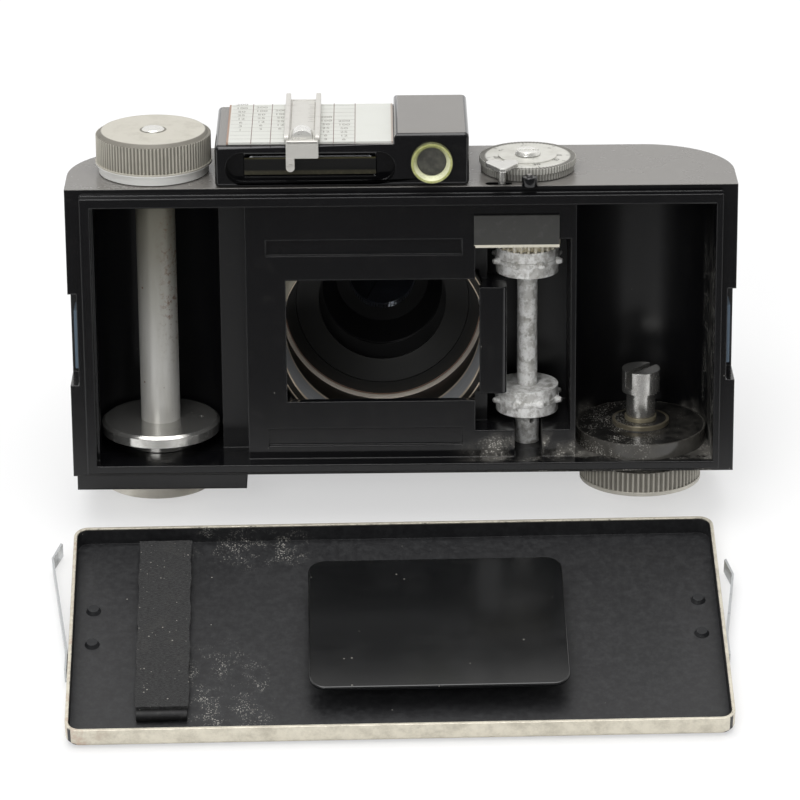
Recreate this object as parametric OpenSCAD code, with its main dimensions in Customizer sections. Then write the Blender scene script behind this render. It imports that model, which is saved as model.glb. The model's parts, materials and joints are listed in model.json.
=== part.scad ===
// Compact 35 mm camera in moulded black resin, seen with its back cover taken off.
// The camera leans forward on its rewind knob, its tripod plate and the front of its lens,
// and the cover lies inside up on the same surface behind it.
// The viewer is at -Y, the lens points to +Y. Millimetres throughout.

/* [Moulded body] */
// Width of the body
body_w = 124; // [122:0.5:128]
// Height of the body without its foot
body_h = 56.4; // [56:0.2:60]
// Depth of the body from the rear rim to the front
body_d = 27.5; // [27.5:0.5:32]
// Radius of the rounded ends on the lens side
end_r = 16.5; // [14:0.5:18]
// Depth of the stepped rim that the cover slips over
rim_d = 2; // [1.6:0.1:2.4]
// How far the rim stands in from the sides of the body
rim_in = 2.8; // [2.6:0.1:3.2]
// Height of the foot under the take-up end
foot_h = 3.3; // [2.8:0.1:3.4]

/* [Film path] */
// Width of the film gate
gate_w = 36; // [34:0.5:37]
// Height of the film gate
gate_h = 24; // [22:0.5:24.5]
// Centre of the gate from the middle of the body
gate_x = -3.6; // [-4:0.1:-3]
// Height of the centre of the gate, which the lens shares
gate_z = 25.9; // [25.4:0.1:26.4]
// Depth of the film plane behind the rear rim
film_y = 3.4; // [3.2:0.1:4]
// Place of the take-up spool along the body
spool_x = -45.9; // [-46.2:0.1:-45.4]
// Radius of the take-up chamber
spool_room_r = 11.9; // [11.7:0.1:12.1]
// Radius of the spool's flange
spool_flange_r = 11.2; // [10.6:0.1:11.4]
// Place of the film cassette along the body
cassette_x = 45.2; // [45:0.1:45.3]
// Radius of the cassette chamber
cassette_room_r = 12.8; // [12.4:0.1:13]
// Place of the sprocket shaft along the body
sprocket_x = 23.6; // [23.3:0.1:23.9]
// Radius of the sprocket's drums, without the teeth
drum_r = 5.9; // [5.6:0.1:6]
// Number of teeth round a sprocket
sprocket_teeth = 8; // [8:1:8]
// Number of teeth on the counter's gear
gear_teeth = 28; // [24:1:32]

/* [Knobs and dials] */
// Radius of the winding knob
wind_r = 10.7; // [10:0.1:11.2]
// Height of the winding knob
wind_h = 7.8; // [7:0.1:8.6]
// Radius of the rewind knob
rewind_r = 11.5; // [11:0.1:11.8]
// How far the rewind knob reaches below the body
rewind_drop = 5; // [5:0.05:5.3]
// Radius of the counter dial
dial_r = 9; // [8.6:0.1:9.2]
// Radius of the tripod plate
tripod_r = 10.3; // [9.8:0.1:10.4]
// Thickness of the tripod plate
tripod_t = 1.9; // [1.6:0.05:1.9]

/* [Finder and meter housing] */
// Left end of the housing
housing_x0 = -34.2; // [-34.6:0.1:-33.6]
// Right end of the housing
housing_x1 = 12.5; // [12:0.1:13]
// Height of the meter part
meter_h = 8.2; // [8:0.1:8.6]
// Height of the finder part
finder_h = 10.2; // [10:0.1:10.8]
// Radius of the ring round the eyepiece
eye_r = 3.85; // [3.6:0.05:4]

/* [Lens and shutter] */
// Outer radius of the focusing ring
focus_r = 19.4; // [19.2:0.1:19.8]
// How far the focusing ring stands in front of the body
lens_out = 30.8; // [30:0.1:32]
// Outer radius of the fixed barrel
barrel_r = 17.8; // [17.6:0.1:17.9]
// Radius of the mounting flange
flange_r = 22.5; // [21.5:0.1:23]
// Radius of the front lens
glass_r = 7; // [6:0.1:7.4]

/* [Cover] */
// Width of the cover
cover_w = 120.2; // [120:0.1:121]
// Height of the cover, from its top edge to its bottom edge
cover_l = 55.8; // [55.6:0.1:56]
// Depth of the cover
cover_h = 4.3; // [4.2:0.1:4.6]
// Thickness of the sheet
sheet_t = 0.65; // [0.55:0.05:0.7]
// Sideways place of the cover as it lies
cover_x = -1.5; // [-2:0.1:0]
// Place of the far edge of the cover behind the line on which the camera stands, clear of the
// rewind knob when that is pulled out
cover_gap = 24.7; // [24.7:0.1:40]
// Turn of the cover as it lies, in degrees
cover_turn = 0.8; // [0:0.1:1.5]
// Height of the pressure plate's face over the surface
plate_top = 5.9; // [5.6:0.1:6.4]

/* [Hidden] */
$fn = 64;

// Fits
run = 0.05;
slide_fit = 0.1;

// Levels and lines of the body: y is 0 on the rear rim and grows toward the lens
half_w = body_w / 2;
shell_y = rim_d;
wall_b = 2.6;
wall_t = 3.1;
floor_z = wall_b;
roof_z = body_h - wall_t;
room_y = body_d - 2;
spool_y = 13.6;
cassette_y = 13;
sprocket_y = 12.4;
rim_z0 = 1.1;
rim_z1 = body_h - 1.3;
rim_w = body_w - 2 * rim_in;

// Film path
well_x0 = gate_x + gate_w / 2 - 0.8;
well_x1 = cassette_x - cassette_room_r - 1;
well_z0 = 7.9;
well_z1 = 45.6;
pier_z0 = 15.3;
pier_z1 = 36.2;
pier_w = 5.9;
row_gap = 27.6;
drum_h = 5;
wheel_mid = gate_z - 0.5;
tooth_out = 1.1;
shaft_r = 1.95;
light_y = film_y + 6.5;
gear_z0 = wheel_mid + row_gap / 2 + drum_h / 2 + 0.1;
gear_z1 = gear_z0 + 2;

// Feet: the camera stands on the rewind knob and tripod plate and the lower edge of the focusing ring
knob_edge_y = cassette_y + rewind_r;
lens_edge_y = body_d + lens_out;
lean = atan2(gate_z - focus_r + rewind_drop, lens_edge_y - knob_edge_y);

// Top of the body
top_z = body_h;
housing_y0 = shell_y;
housing_y1 = body_d + 0.3;
finder_x0 = -1.2;
meter_z = top_z + meter_h;
finder_z = top_z + finder_h;
eye_x = (finder_x0 + housing_x1) / 2;
eye_z = top_z + 4.7;
slide_x = -17.7;
slide_w = 6.6;
catch_x = 18.6;
catch_y = shell_y + 1.6;

// Lens: stages along the axis from the film side
barrel_y0 = body_d - 4;
barrel_y1 = body_d + 17;
focus_y0 = barrel_y1 - 6;
case_r = barrel_r - 1.4;
case_y0 = body_d + 8;
case_y1 = lens_edge_y - 2.6;
face_y1 = lens_edge_y - 1.2;

// Cover
cover_in_w = cover_w - 2 * sheet_t;
cover_in_l = cover_l - 2 * sheet_t;
plate_x = 7.6;
plate_y = -3.6;
felt_x = -42.9;
felt_w = 9.8;
rivet_y = 3.6;
felt_len = 46;
felt_y = 2.6;

// Latches on the sides of the cover
latch_t = 0.4;
latch_bow_left = 3.6;
latch_bow_right = 2.4;
latch_foot = 6;
latch_left_y = -11;
latch_right_y = -10;
latch_pivot_left = latch_left_y + latch_foot;
latch_pivot_right = latch_right_y + latch_foot;

// The origin is under the middle of everything: how far each way the whole reaches, seen from
// the middle of the body and from the line on which the rewind knob stands
far_y = (lens_edge_y - knob_edge_y) * cos(lean) + (gate_z + focus_r + rewind_drop) * sin(lean);
near_y = cover_gap + cover_l / 2 + cover_l / 2 * cos(cover_turn) + (cover_w / 2 - 2) * sin(cover_turn);
left_x = cover_w / 2 + latch_bow_left + latch_t + 20 * sin(cover_turn) - cover_x;
mid_x = (left_x - half_w) / 2;
stand_y = (near_y - far_y) / 2;

// Puts the upright camera down as it stands, leaning on its lens.
module leaning() {
  translate([mid_x, stand_y, 0])
    rotate([-lean, 0, 0])
      translate([0, -knob_edge_y, rewind_drop])
        children();
}

// Puts the cover down as it lies: x across, y from its middle to its far edge, z up from the surface.
module lying() {
  translate([mid_x + cover_x, stand_y - cover_gap - cover_l / 2, 0])
    rotate([0, 0, cover_turn])
      children();
}

// Turns z into the lens axis, with y in the body as the height along it.
module lens_axis() {
  translate([gate_x, 0, gate_z])
    rotate([-90, 0, 0])
      children();
}

module ring(outer, inner, z0, z1) {
  difference() {
    translate([0, 0, z0])
      cylinder(h = z1 - z0, r = outer);
    translate([0, 0, z0 - 1])
      cylinder(h = z1 - z0 + 2, r = inner);
  }
}

module block(x0, x1, y0, y1, z0, z1) {
  translate([x0, y0, z0])
    cube([x1 - x0, y1 - y0, z1 - z0]);
}

// Square with round corners, as true arcs.
module round_square(w, l, r) {
  square([w - 2 * r, l], center = true);
  square([w, l - 2 * r], center = true);
  for (sx = [-1, 1], sy = [-1, 1])
    translate([sx * (w / 2 - r), sy * (l / 2 - r)])
      circle(r);
}

// Outline of a fluted edge: n ridges of the given depth.
function fluted(r, n, depth) =
  [for (i = [0 : n - 1], s = [0, 1]) let (a = (i + s * 0.5) * 360 / n, q = r - s * depth)
    [q * cos(a), q * sin(a)]];

// Outline of a gear with straight-sided teeth.
function toothed(r, n, depth) =
  [for (i = [0 : n - 1], s = [[-0.3, 1], [-0.14, 0], [0.14, 0], [0.3, 1]])
    let (a = (i + s[0]) * 360 / n, q = r - s[1] * depth)
      [q * cos(a), q * sin(a)]];

// Plan of the body: flat at the rear, round at both ends on the lens side.
module body_plan(inset = 0) {
  w = half_w - inset;
  r = end_r - inset;
  cy = body_d - end_r;
  translate([-w, shell_y])
    square([2 * w, cy - shell_y]);
  translate([-half_w + end_r, shell_y])
    square([body_w - 2 * end_r, body_d - inset - shell_y]);
  intersection() {
    translate([-half_w, cy - 1])
      square([body_w, end_r + 1]);
    for (s = [-1, 1])
      translate([s * (half_w - end_r), cy])
        circle(r);
  }
}

module shell_outside() {
  linear_extrude(body_h)
    body_plan();
  block(-rim_w / 2, rim_w / 2, 0, shell_y + 1, rim_z0, rim_z1);
  // Raised board round the lens
  lens_axis()
    translate([0, 0, room_y])
      cylinder(h = body_d + 0.8 - room_y, r = flange_r + 2.5);
  // Foot under the take-up end
  translate([0, 0, -foot_h])
    linear_extrude(foot_h + 1)
      intersection() {
        body_plan(0.6);
        translate([-half_w, shell_y + 1.4])
          square([half_w - 29.5, body_d]);
      }
}

// Rooms for spool and cassette, open to the rear.
module spool_room() {
  translate([spool_x, spool_y, floor_z])
    cylinder(h = roof_z - floor_z, r = spool_room_r);
  block(spool_x - spool_room_r + 0.8, gate_x - gate_w / 2 - 7.4, -1, spool_y - 4, floor_z, roof_z);
  block(spool_x - spool_room_r + 0.8, spool_x + spool_room_r, -1, spool_y, floor_z, roof_z);
}

module cassette_room() {
  translate([cassette_x, cassette_y, floor_z])
    cylinder(h = roof_z - floor_z, r = cassette_room_r);
  block(cassette_x - cassette_room_r, cassette_x + cassette_room_r, -1, cassette_y, floor_z, roof_z);
}

module sprocket_well() {
  difference() {
    union() {
      block(well_x0, well_x1, film_y - 1, light_y - 1, well_z0, well_z1);
      block(well_x0 + 2.4, well_x1, film_y, sprocket_y + 8, well_z0, well_z1);
    }
    block(well_x0 - 1, well_x0 + pier_w - 1, film_y, sprocket_y - 0.5, pier_z0, pier_z1);
    translate([well_x0 + pier_w - 1, film_y + 1, pier_z0])
      cylinder(h = pier_z1 - pier_z0, r = 1);
    block(well_x0 + pier_w - 1.5, well_x0 + pier_w, film_y + 1, sprocket_y - 0.5, pier_z0, pier_z1);
  }
  // Notch for the lower end of the shaft
  block(sprocket_x - 2.6, sprocket_x + 2.6, film_y - 1, sprocket_y + 2.6, floor_z, well_z0 + 1);
}

module light_room() {
  lens_axis()
    translate([0, 0, light_y])
      cylinder(h = body_d, r = barrel_r);
  block(gate_x - gate_w / 2, gate_x + gate_w / 2, film_y - 1, light_y + 1,
    gate_z - gate_h / 2, gate_z + gate_h / 2);
}

module body_shell() {
  color("#141414")
    difference() {
      shell_outside();
      block(-rim_w / 2 + 1.8, rim_w / 2 - 1.5, -1, film_y, floor_z, roof_z);
      spool_room();
      cassette_room();
      sprocket_well();
      light_room();
      // Grooves above and below the film
      block(gate_x - 21.6, gate_x + 14.8, film_y - 1, film_y + 0.7, gate_z + 16.8, gate_z + 19.8);
      block(gate_x - 21.6, gate_x + 14.8, film_y - 1, film_y + 0.7, gate_z - 20.8, gate_z - 17.4);
      // Shafts through roof and floor
      translate([spool_x, spool_y, roof_z - 1])
        cylinder(h = 20, r = 3);
      translate([spool_x, spool_y, 0.8])
        cylinder(h = 3, r = 2.5 + run);
      translate([sprocket_x, sprocket_y, well_z1 - 1])
        cylinder(h = 30, r = shaft_r + run);
      translate([cassette_x, cassette_y, -5])
        cylinder(h = 12, r = 4.2);
      // Slot of the film catch
      for (x = [-1.5, 1.5])
        translate([catch_x - 0.6 + x, catch_y, top_z - 2])
          cylinder(h = 4, r = 0.95);
      block(catch_x - 2.1, catch_x + 0.9, catch_y - 0.95, catch_y + 0.95, top_z - 2, top_z + 1);
      // Seats for the cover's latches
      for (s = [-1, 1])
        translate([s * half_w, shell_y + 3.4, gate_z + 1.2])
          cube([3.2, 9, 18], center = true);
      // Socket for the tripod screw
      translate([spool_x - 0.5, spool_y, -foot_h - 1])
        cylinder(h = 3.6, r = 5);
    }
}

module finder_housing() {
  color("#151515")
    difference() {
      union() {
        block(housing_x0, housing_x1, housing_y0, housing_y1, top_z, meter_z);
        block(finder_x0, housing_x1, housing_y0, housing_y1, top_z, finder_z);
      }
      // Meter window
      for (x = [housing_x0 + 5, finder_x0 - 2.9])
        translate([x, housing_y0 - 1, top_z + 3.7])
          rotate([-90, 0, 0])
            cylinder(h = 3.4, r = 3.1);
      block(housing_x0 + 5, finder_x0 - 2.9, housing_y0 - 1, housing_y0 + 2.4, top_z + 0.6, top_z + 6.8);
      // Light tunnel of the meter, open to the front
      block(housing_x0 + 6, finder_x0 - 4, housing_y0 + 2, housing_y1 + 1, top_z + 2, top_z + 5.2);
      // Finder tunnel: round behind, square in front
      translate([eye_x, housing_y0 - 1, eye_z])
        rotate([-90, 0, 0])
          cylinder(h = 6, r = eye_r - 0.8);
      block(eye_x - 2, eye_x + 2, housing_y0 + 3, housing_y1 - 5, eye_z - 1.8, eye_z + 1.8);
      block(eye_x - 4.6, eye_x + 4.6, housing_y1 - 6, housing_y1 + 1, eye_z - 3.3, eye_z + 3.3);
    }
}

module calculator_plate() {
  color("#c9c8be")
    difference() {
      block(housing_x0 + 2.2, finder_x0 - 0.2, housing_y0 + 0.6, housing_y1 - 0.8, meter_z, meter_z + 0.4);
      translate([slide_x, 14.5, meter_z - 1])
        cylinder(h = 3, r = 2.2);
    }
}

module meter_wedge() {
  color("#6b6a3c")
    block(housing_x0 + 5.4, finder_x0 - 3.4, housing_y0 + 1.9, housing_y0 + 2.3, top_z + 2, top_z + 5.2);
}

module finder_front_glass() {
  color("#9fb4ba")
    block(eye_x - 4.6, eye_x + 4.6, housing_y1 - 2.4, housing_y1 - 0.9, eye_z - 3.3, eye_z + 3.3);
}

module eyepiece_ring() {
  color("#3a3d42")
    translate([eye_x, housing_y0, eye_z])
      rotate([90, 0, 0])
        difference() {
          union() {
            ring(eye_r, 2.7, 0, 0.9);
            ring(eye_r - 0.8, 2.7, -2.4, 0.1);
          }
          cylinder(h = 2, r1 = 2.7, r2 = 4.3);
        }
}

module eyepiece_glass() {
  color("#b8c4c6")
    translate([eye_x, housing_y0 + 0.4, eye_z])
      rotate([-90, 0, 0])
        cylinder(h = 1.6, r = 2.7);
}

// Sliding index of the exposure calculator, which rides over the plate.
module meter_slider() {
  x0 = slide_x - slide_w / 2;
  x1 = slide_x + slide_w / 2;
  z0 = meter_z + 0.4 + slide_fit;
  color("#26282a")
    difference() {
      union() {
        block(x0, x1, housing_y0 - 0.9, housing_y1 + 0.9, z0, z0 + 0.6);
        block(x0, x0 + 0.9, housing_y0 - 0.9, housing_y1 + 0.9, z0, z0 + 1.7);
        block(x1 - 0.9, x1, housing_y0 - 0.9, housing_y1 + 0.9, z0, z0 + 1.7);
        block(x0, x1, housing_y0 - 0.9, housing_y0 - slide_fit, z0 - 3.4, z0 + 0.6);
        block(x0, x1, housing_y1 + slide_fit, housing_y1 + 0.9, z0 - 3.4, z0 + 0.6);
        block(x0 + 0.2, x0 + 1.9, housing_y0 - 0.9, housing_y0 - slide_fit, z0 - 6.2, z0);
      }
      translate([slide_x, housing_y0 + 4.4, z0 - 1])
        cylinder(h = 4, r = 2.4);
      block(slide_x - 2.4, slide_x + 2.4, housing_y0 + 4.4, housing_y0 + 9, z0 - 1, z0 + 3);
    }
}

module film_catch() {
  color("#c8c8c6") {
    translate([catch_x, catch_y, top_z - 1.8])
      cylinder(h = 5.6, r = 0.7);
    translate([catch_x, 0, top_z + 3.2])
      linear_extrude(0.8)
        union() {
          for (s = [-1, 1])
            translate([s * 1.45, catch_y + 0.3])
              circle(1.55);
          polygon([[-2.9, catch_y - 0.2], [2.9, catch_y - 0.2], [0.5, catch_y - 4], [-0.5, catch_y - 4]]);
        }
  }
}

module counter_index() {
  color("#1b1b1b")
    translate([sprocket_x, shell_y - 0.2, 0]) {
      translate([0, 0, top_z])
        cylinder(h = 1.9, r = 1.45);
      translate([0, 0, top_z + 1.8])
        cylinder(h = 0.5, r = 0.6);
    }
}

module counter_dial() {
  color("#b9b8b2")
    translate([sprocket_x, sprocket_y, top_z + 1.5])
      difference() {
        union() {
          linear_extrude(1.1)
            polygon(fluted(dial_r, 90, 0.22));
          cylinder(h = 1.35, r = dial_r - 3.6);
        }
        translate([0, 0, -1])
          cylinder(h = 4, r = shaft_r + run);
      }
}

module catch_disc() {
  color("#a9a8a2")
    translate([sprocket_x, sprocket_y, top_z + 0.2])
      difference() {
        linear_extrude(1.2)
          polygon(fluted(dial_r - 0.3, 90, 0.22));
        translate([0, 0, -1])
          cylinder(h = 4, r = shaft_r);
      }
}

module dial_screw() {
  color("#cfcfca")
    translate([sprocket_x, sprocket_y, top_z + 2.95])
      difference() {
        cylinder(h = 0.8, r1 = 2.4, r2 = 2);
        translate([-3, -0.3, 0.4])
          cube([6, 0.6, 1]);
      }
}

// Sheet plate over the counter's gear, bent under at its lower edge.
module gear_cover() {
  color("#6f706e") {
    block(sprocket_x - 10.2, sprocket_x + 5.6, film_y - 0.6, film_y, gear_z1 + 0.8, gear_z1 + 6.6);
    block(well_x0 + 0.05, sprocket_x + 5.6, film_y - 0.6, film_y + 2.2, gear_z1 + 0.4, gear_z1 + 0.9);
  }
}

module counter_gear() {
  color("#b7b09c")
    translate([sprocket_x, sprocket_y, gear_z0])
      difference() {
        linear_extrude(gear_z1 - gear_z0)
          polygon(toothed(6.2, gear_teeth, 0.9));
        translate([0, 0, -1])
          cylinder(h = 4, r = shaft_r);
      }
}

// One sprocket: a waisted drum with its row of teeth.
module sprocket(mid) {
  translate([sprocket_x, sprocket_y, mid]) {
    difference() {
      union() {
        translate([0, 0, -drum_h / 2])
          cylinder(h = drum_h, r = drum_r);
        translate([0, 0, -0.4])
          cylinder(h = 0.8, r = drum_r + 0.15);
        for (i = [0 : sprocket_teeth - 1])
          rotate([0, 0, (i + 0.5) * 360 / sprocket_teeth])
            translate([drum_r - 0.3, 0, 0])
              rotate([0, 90, 0])
                cylinder(h = tooth_out + 0.3, r1 = 0.95, r2 = 0.4, $fn = 16);
      }
      cylinder(h = 20, r = shaft_r, center = true);
    }
  }
}

module upper_sprocket() {
  color("#a8a59a")
    sprocket(wheel_mid + row_gap / 2);
}

module lower_sprocket() {
  color("#a8a59a")
    sprocket(wheel_mid - row_gap / 2);
}

module sprocket_shaft() {
  z0 = floor_z;
  foot = wheel_mid - row_gap / 2 - drum_h / 2;
  color("#a3a29b")
    translate([sprocket_x, sprocket_y, 0])
      difference() {
        union() {
          translate([0, 0, z0])
            cylinder(h = foot - z0, r = 2.35);
          translate([0, 0, foot - 1])
            cylinder(h = top_z + 2.95 - foot + 1, r = shaft_r);
        }
        translate([0, 0, z0 + 4.6])
          rotate([90, 0, 25])
            cylinder(h = 8, r = 0.6, center = true);
      }
}

module spool_bush() {
  color("#9c8146")
    translate([spool_x, spool_y, 0]) {
      ring(4.6, 2.5 + run, roof_z - 0.8, roof_z);
      ring(3, 2.5 + run, roof_z - 0.1, top_z);
    }
}

module winding_knob() {
  lip_h = 2.1;
  color("#cfc9bd")
    translate([spool_x, spool_y, top_z + 0.15])
      difference() {
        union() {
          cylinder(h = lip_h - 0.4, r = wind_r - 0.5);
          translate([0, 0, lip_h - 0.4])
            cylinder(h = 0.5, r = wind_r + 0.15);
          translate([0, 0, lip_h])
            linear_extrude(wind_h - lip_h - 0.6)
              polygon(fluted(wind_r, 96, 0.3));
          translate([0, 0, wind_h - 0.7])
            cylinder(h = 0.7, r1 = wind_r - 0.4, r2 = wind_r - 1);
        }
        translate([0, 0, -1])
          cylinder(h = 20, r = 2.5);
      }
}

module knob_rivet() {
  color("#d8d2c4")
    translate([spool_x, spool_y, top_z + 0.15 + wind_h])
      cylinder(h = 0.35, r1 = 2.2, r2 = 1.8);
}

module spool_shaft() {
  color("#b3b0a8")
    translate([spool_x, spool_y, 0])
      difference() {
        union() {
          translate([0, 0, 7.4])
            cylinder(h = roof_z - 0.8 - slide_fit - 7.4, r = 3.7);
          translate([0, 0, 1])
            cylinder(h = top_z + 0.15 + wind_h - 1, r = 2.5);
        }
        // Slit that takes the film's tongue
        block(-0.5, 0.5, -5, 5, 14, 38);
      }
}

module spool_flange() {
  color("#1a1a1a")
    translate([spool_x, spool_y, 0])
      difference() {
        union() {
          translate([0, 0, 5.2])
            cylinder(h = 1.7, r = spool_flange_r);
          translate([0, 0, 6.85])
            cylinder(h = 0.55, r1 = spool_flange_r, r2 = spool_flange_r - 0.6);
          translate([0, 0, floor_z + slide_fit])
            cylinder(h = 2.7, r = 6.7);
        }
        cylinder(h = 30, r = 2.5);
        translate([7.6, 0, 0])
          cylinder(h = 30, r = 0.55);
      }
}

module rewind_knob() {
  color("#c9c3b6")
    translate([cassette_x, cassette_y, -rewind_drop])
      difference() {
        union() {
          cylinder(h = 0.7, r = rewind_r);
          translate([0, 0, 0.6])
            linear_extrude(rewind_drop - 1.1)
              polygon(fluted(rewind_r - 0.1, 72, 0.4));
        }
        translate([0, 0, -1])
          cylinder(h = 1.8, r = rewind_r - 2.2);
        cylinder(h = 10, r = 1.9);
      }
}

module rewind_fork() {
  color("#a7a59d")
    translate([cassette_x, cassette_y, 0])
      difference() {
        union() {
          translate([0, 0, 7.4])
            cylinder(h = 5, r = 2.75);
          translate([0, 0, 12.2])
            cylinder(h = 4.4, r = 3.6);
          translate([0, 0, -rewind_drop + 0.8])
            cylinder(h = 12, r = 1.9);
        }
        rotate([0, 0, 35])
          block(-0.75, 0.75, -5, 5, 13.4, 20);
      }
}

module rewind_bush() {
  color("#8f8d84")
    translate([cassette_x, cassette_y, 0]) {
      ring(12.3, 4.2, floor_z, 5.6);
      ring(5.4, 3 + run, 5.5, 6.6);
      ring(4.2, 3 + run, 0.2, 5.6);
    }
}

// Sleeve that slides in the bush with the rewind shaft.
module rewind_sleeve() {
  color("#a19f97")
    translate([cassette_x, cassette_y, 0])
      ring(3, 1.9 + run, 0, 7.3);
}

module tripod_plate() {
  color("#bcb8ad")
    translate([spool_x - 0.5, spool_y, -foot_h])
      difference() {
        union() {
          translate([0, 0, -tripod_t])
            cylinder(h = tripod_t, r = tripod_r);
          cylinder(h = 2.6, r = 5);
        }
        translate([0, 0, -5])
          cylinder(h = 10, r = 3.175);
      }
}

module catch_plates() {
  color("#6d7a86")
    for (s = [-1, 1])
      translate([s * (half_w - 1.6 + 0.3), shell_y + 3.4, gate_z + 1])
        cube([0.6, 5, 11.3], center = true);
}

module lens_flange() {
  color("#1d1d1d")
    lens_axis()
      difference() {
        union() {
          ring(flange_r, barrel_r, body_d + 0.8, body_d + 2.6);
          translate([0, 0, body_d + 2.5])
            difference() {
              cylinder(h = 1.5, r1 = flange_r - 1.4, r2 = barrel_r + 1.2);
              translate([0, 0, -1])
                cylinder(h = 5, r = barrel_r);
            }
        }
        for (i = [0 : 3])
          rotate([0, 0, 45 + 90 * i])
            translate([flange_r - 1.7, 0, 0])
              cylinder(h = 99, r = 0.9);
      }
}

module flange_screws() {
  color("#c0c0bc")
    lens_axis()
      for (i = [0 : 3])
        rotate([0, 0, 45 + 90 * i])
          translate([flange_r - 1.7, 0, body_d + 0.8])
            difference() {
              cylinder(h = 2, r = 0.9);
              translate([-1, -0.15, 1.7])
                cube([2, 0.3, 1]);
            }
}

module lens_barrel() {
  color("#7c7a55")
    lens_axis()
      ring(barrel_r, barrel_r - 1.2, barrel_y0, barrel_y1);
}

// Blackened ring deep in the barrel, seen through the gate.
module rear_baffle() {
  color("#4c4a3a")
    lens_axis() {
      ring(case_r - 0.3, 11.6, case_y0 - 1, case_y0);
      ring(case_r - 0.3, case_r - 1.2, case_y0 - 2.4, case_y0 - 0.9);
    }
}

module focus_ring() {
  color("#202020")
    lens_axis()
      difference() {
        union() {
          ring(focus_r - 0.7, barrel_r + run, focus_y0, barrel_y1 + 0.2);
          ring(focus_r - 0.7, case_r + 0.3 + run, barrel_y1 + 0.1, lens_edge_y - 6.5);
          translate([0, 0, lens_edge_y - 7])
            difference() {
              linear_extrude(6)
                polygon(fluted(focus_r - 0.1, 60, 0.4));
              translate([0, 0, -1])
                cylinder(h = 9, r = case_r + 0.3 + run);
            }
          ring(focus_r, case_r + 0.3 + run, lens_edge_y - 1.1, lens_edge_y);
        }
      }
}

module shutter_case() {
  color("#1c1c1c")
    lens_axis()
      difference() {
        translate([0, 0, case_y0])
          cylinder(h = case_y1 - case_y0, r = case_r);
        translate([0, 0, case_y0 - 1])
          cylinder(h = 6.5, r1 = 12, r2 = 9);
        translate([0, 0, case_y0])
          cylinder(h = case_y1, r = glass_r - 0.6);
        translate([0, 0, case_y0 + 9])
          cylinder(h = 1.2, r = 12);
        translate([0, 0, case_y1 - 2.4])
          cylinder(h = 5, r = glass_r + 1.2);
      }
}

// Three leaves that close the light path, in the gap inside the case.
module shutter_leaves() {
  color("#2a2a2c")
    lens_axis()
      translate([0, 0, case_y0 + 9])
        for (i = [0 : 2])
          rotate([0, 0, 120 * i])
            linear_extrude(0.25)
              intersection() {
                circle(11.6);
                polygon([[0.1, 0.2], [14, 0.2], [14, 14], [-6.9, 12.2]]);
              }
}

module shutter_face() {
  color("#2c2c2e")
    lens_axis()
      difference() {
        union() {
          ring(case_r, glass_r + 1.2, case_y1, case_y1 + 0.7);
          ring(case_r, glass_r + 2.6 + run, case_y1 + 0.6, face_y1);
        }
        // Window of the aperture scale
        translate([0, -11.6, case_y1 - 1])
          cube([9, 1.6, 8], center = true);
      }
}

module speed_ring() {
  color("#b9b9b4")
    lens_axis()
      translate([0, 0, face_y1])
        difference() {
          union() {
            linear_extrude(1.1)
              polygon(fluted(12.6, 60, 0.3));
            ring(11.4, glass_r + 2.6 + run, 1, 1.6);
          }
          translate([0, 0, -1])
            cylinder(h = 5, r = glass_r + 2.6 + run);
        }
}

module aperture_lever() {
  color("#a8a8a4")
    lens_axis()
      difference() {
        union() {
          ring(glass_r + 2.6, glass_r + 1.3, case_y1 + 0.75, face_y1 + 1.8);
          translate([glass_r + 2, -0.8, face_y1 + 1.7])
            cube([6.2, 1.6, 0.5]);
        }
        translate([0, 0, face_y1 - 5])
          cylinder(h = 9, r = glass_r + 1.2);
      }
}

module release_lever() {
  color("#b4b4b0")
    lens_axis()
      rotate([0, 0, -128])
        translate([case_r - 2.2, 0, face_y1]) {
          cylinder(h = 2.1, r = 0.8);
          translate([0, -0.8, 1.3])
            cube([4, 1.6, 0.8]);
        }
}

module cable_socket() {
  color("#b4b4b0")
    lens_axis()
      rotate([0, 0, -60])
        translate([case_r - 1.6, 0, face_y1])
          ring(1.3, 0.75, 0, 1);
}

module front_glass() {
  color("#8f9fb8")
    lens_axis()
      translate([0, 0, case_y1 - 2.4])
        cylinder(h = 2.4, r = glass_r);
}

module rear_glass() {
  color("#8f9fb8")
    lens_axis()
      translate([0, 0, case_y0 + 5.5])
        cylinder(h = 2.4, r = glass_r - 0.6);
}

module glass_retainer() {
  color("#c4c4c0")
    lens_axis() {
      ring(glass_r + 1.2, glass_r, case_y1 - 2.4, face_y1 + 0.9);
      ring(glass_r + 1.2, glass_r - 0.7, case_y1, face_y1 + 0.9);
    }
}

// Pressed sheet cover with round corners.
module cover_tray() {
  color("#26282a")
    difference() {
      union() {
        translate([0, 0, 1])
          linear_extrude(cover_h - 1)
            round_square(cover_w, cover_l, 2.6);
        translate([0, 0, 0.4])
          linear_extrude(0.7)
            round_square(cover_w - 0.8, cover_l - 0.8, 2.2);
        linear_extrude(0.5)
          round_square(cover_w - 2, cover_l - 2, 1.8);
      }
      translate([0, 0, sheet_t])
        linear_extrude(cover_h)
          round_square(cover_in_w, cover_in_l, 2);
    }
}

module cover_rivets() {
  color("#b5b5b0")
    for (s = [-1, 1], y = [-4.6, 4.6])
      translate([s * (cover_in_w / 2 - 3.4), rivet_y + y, sheet_t])
        cylinder(h = 0.7, r1 = 1.4, r2 = 1);
}

module pressure_plate() {
  color("#121212")
    translate([plate_x, plate_y, plate_top - 0.9])
      linear_extrude(0.9)
        round_square(45.8, 32.4, 3);
}

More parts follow.
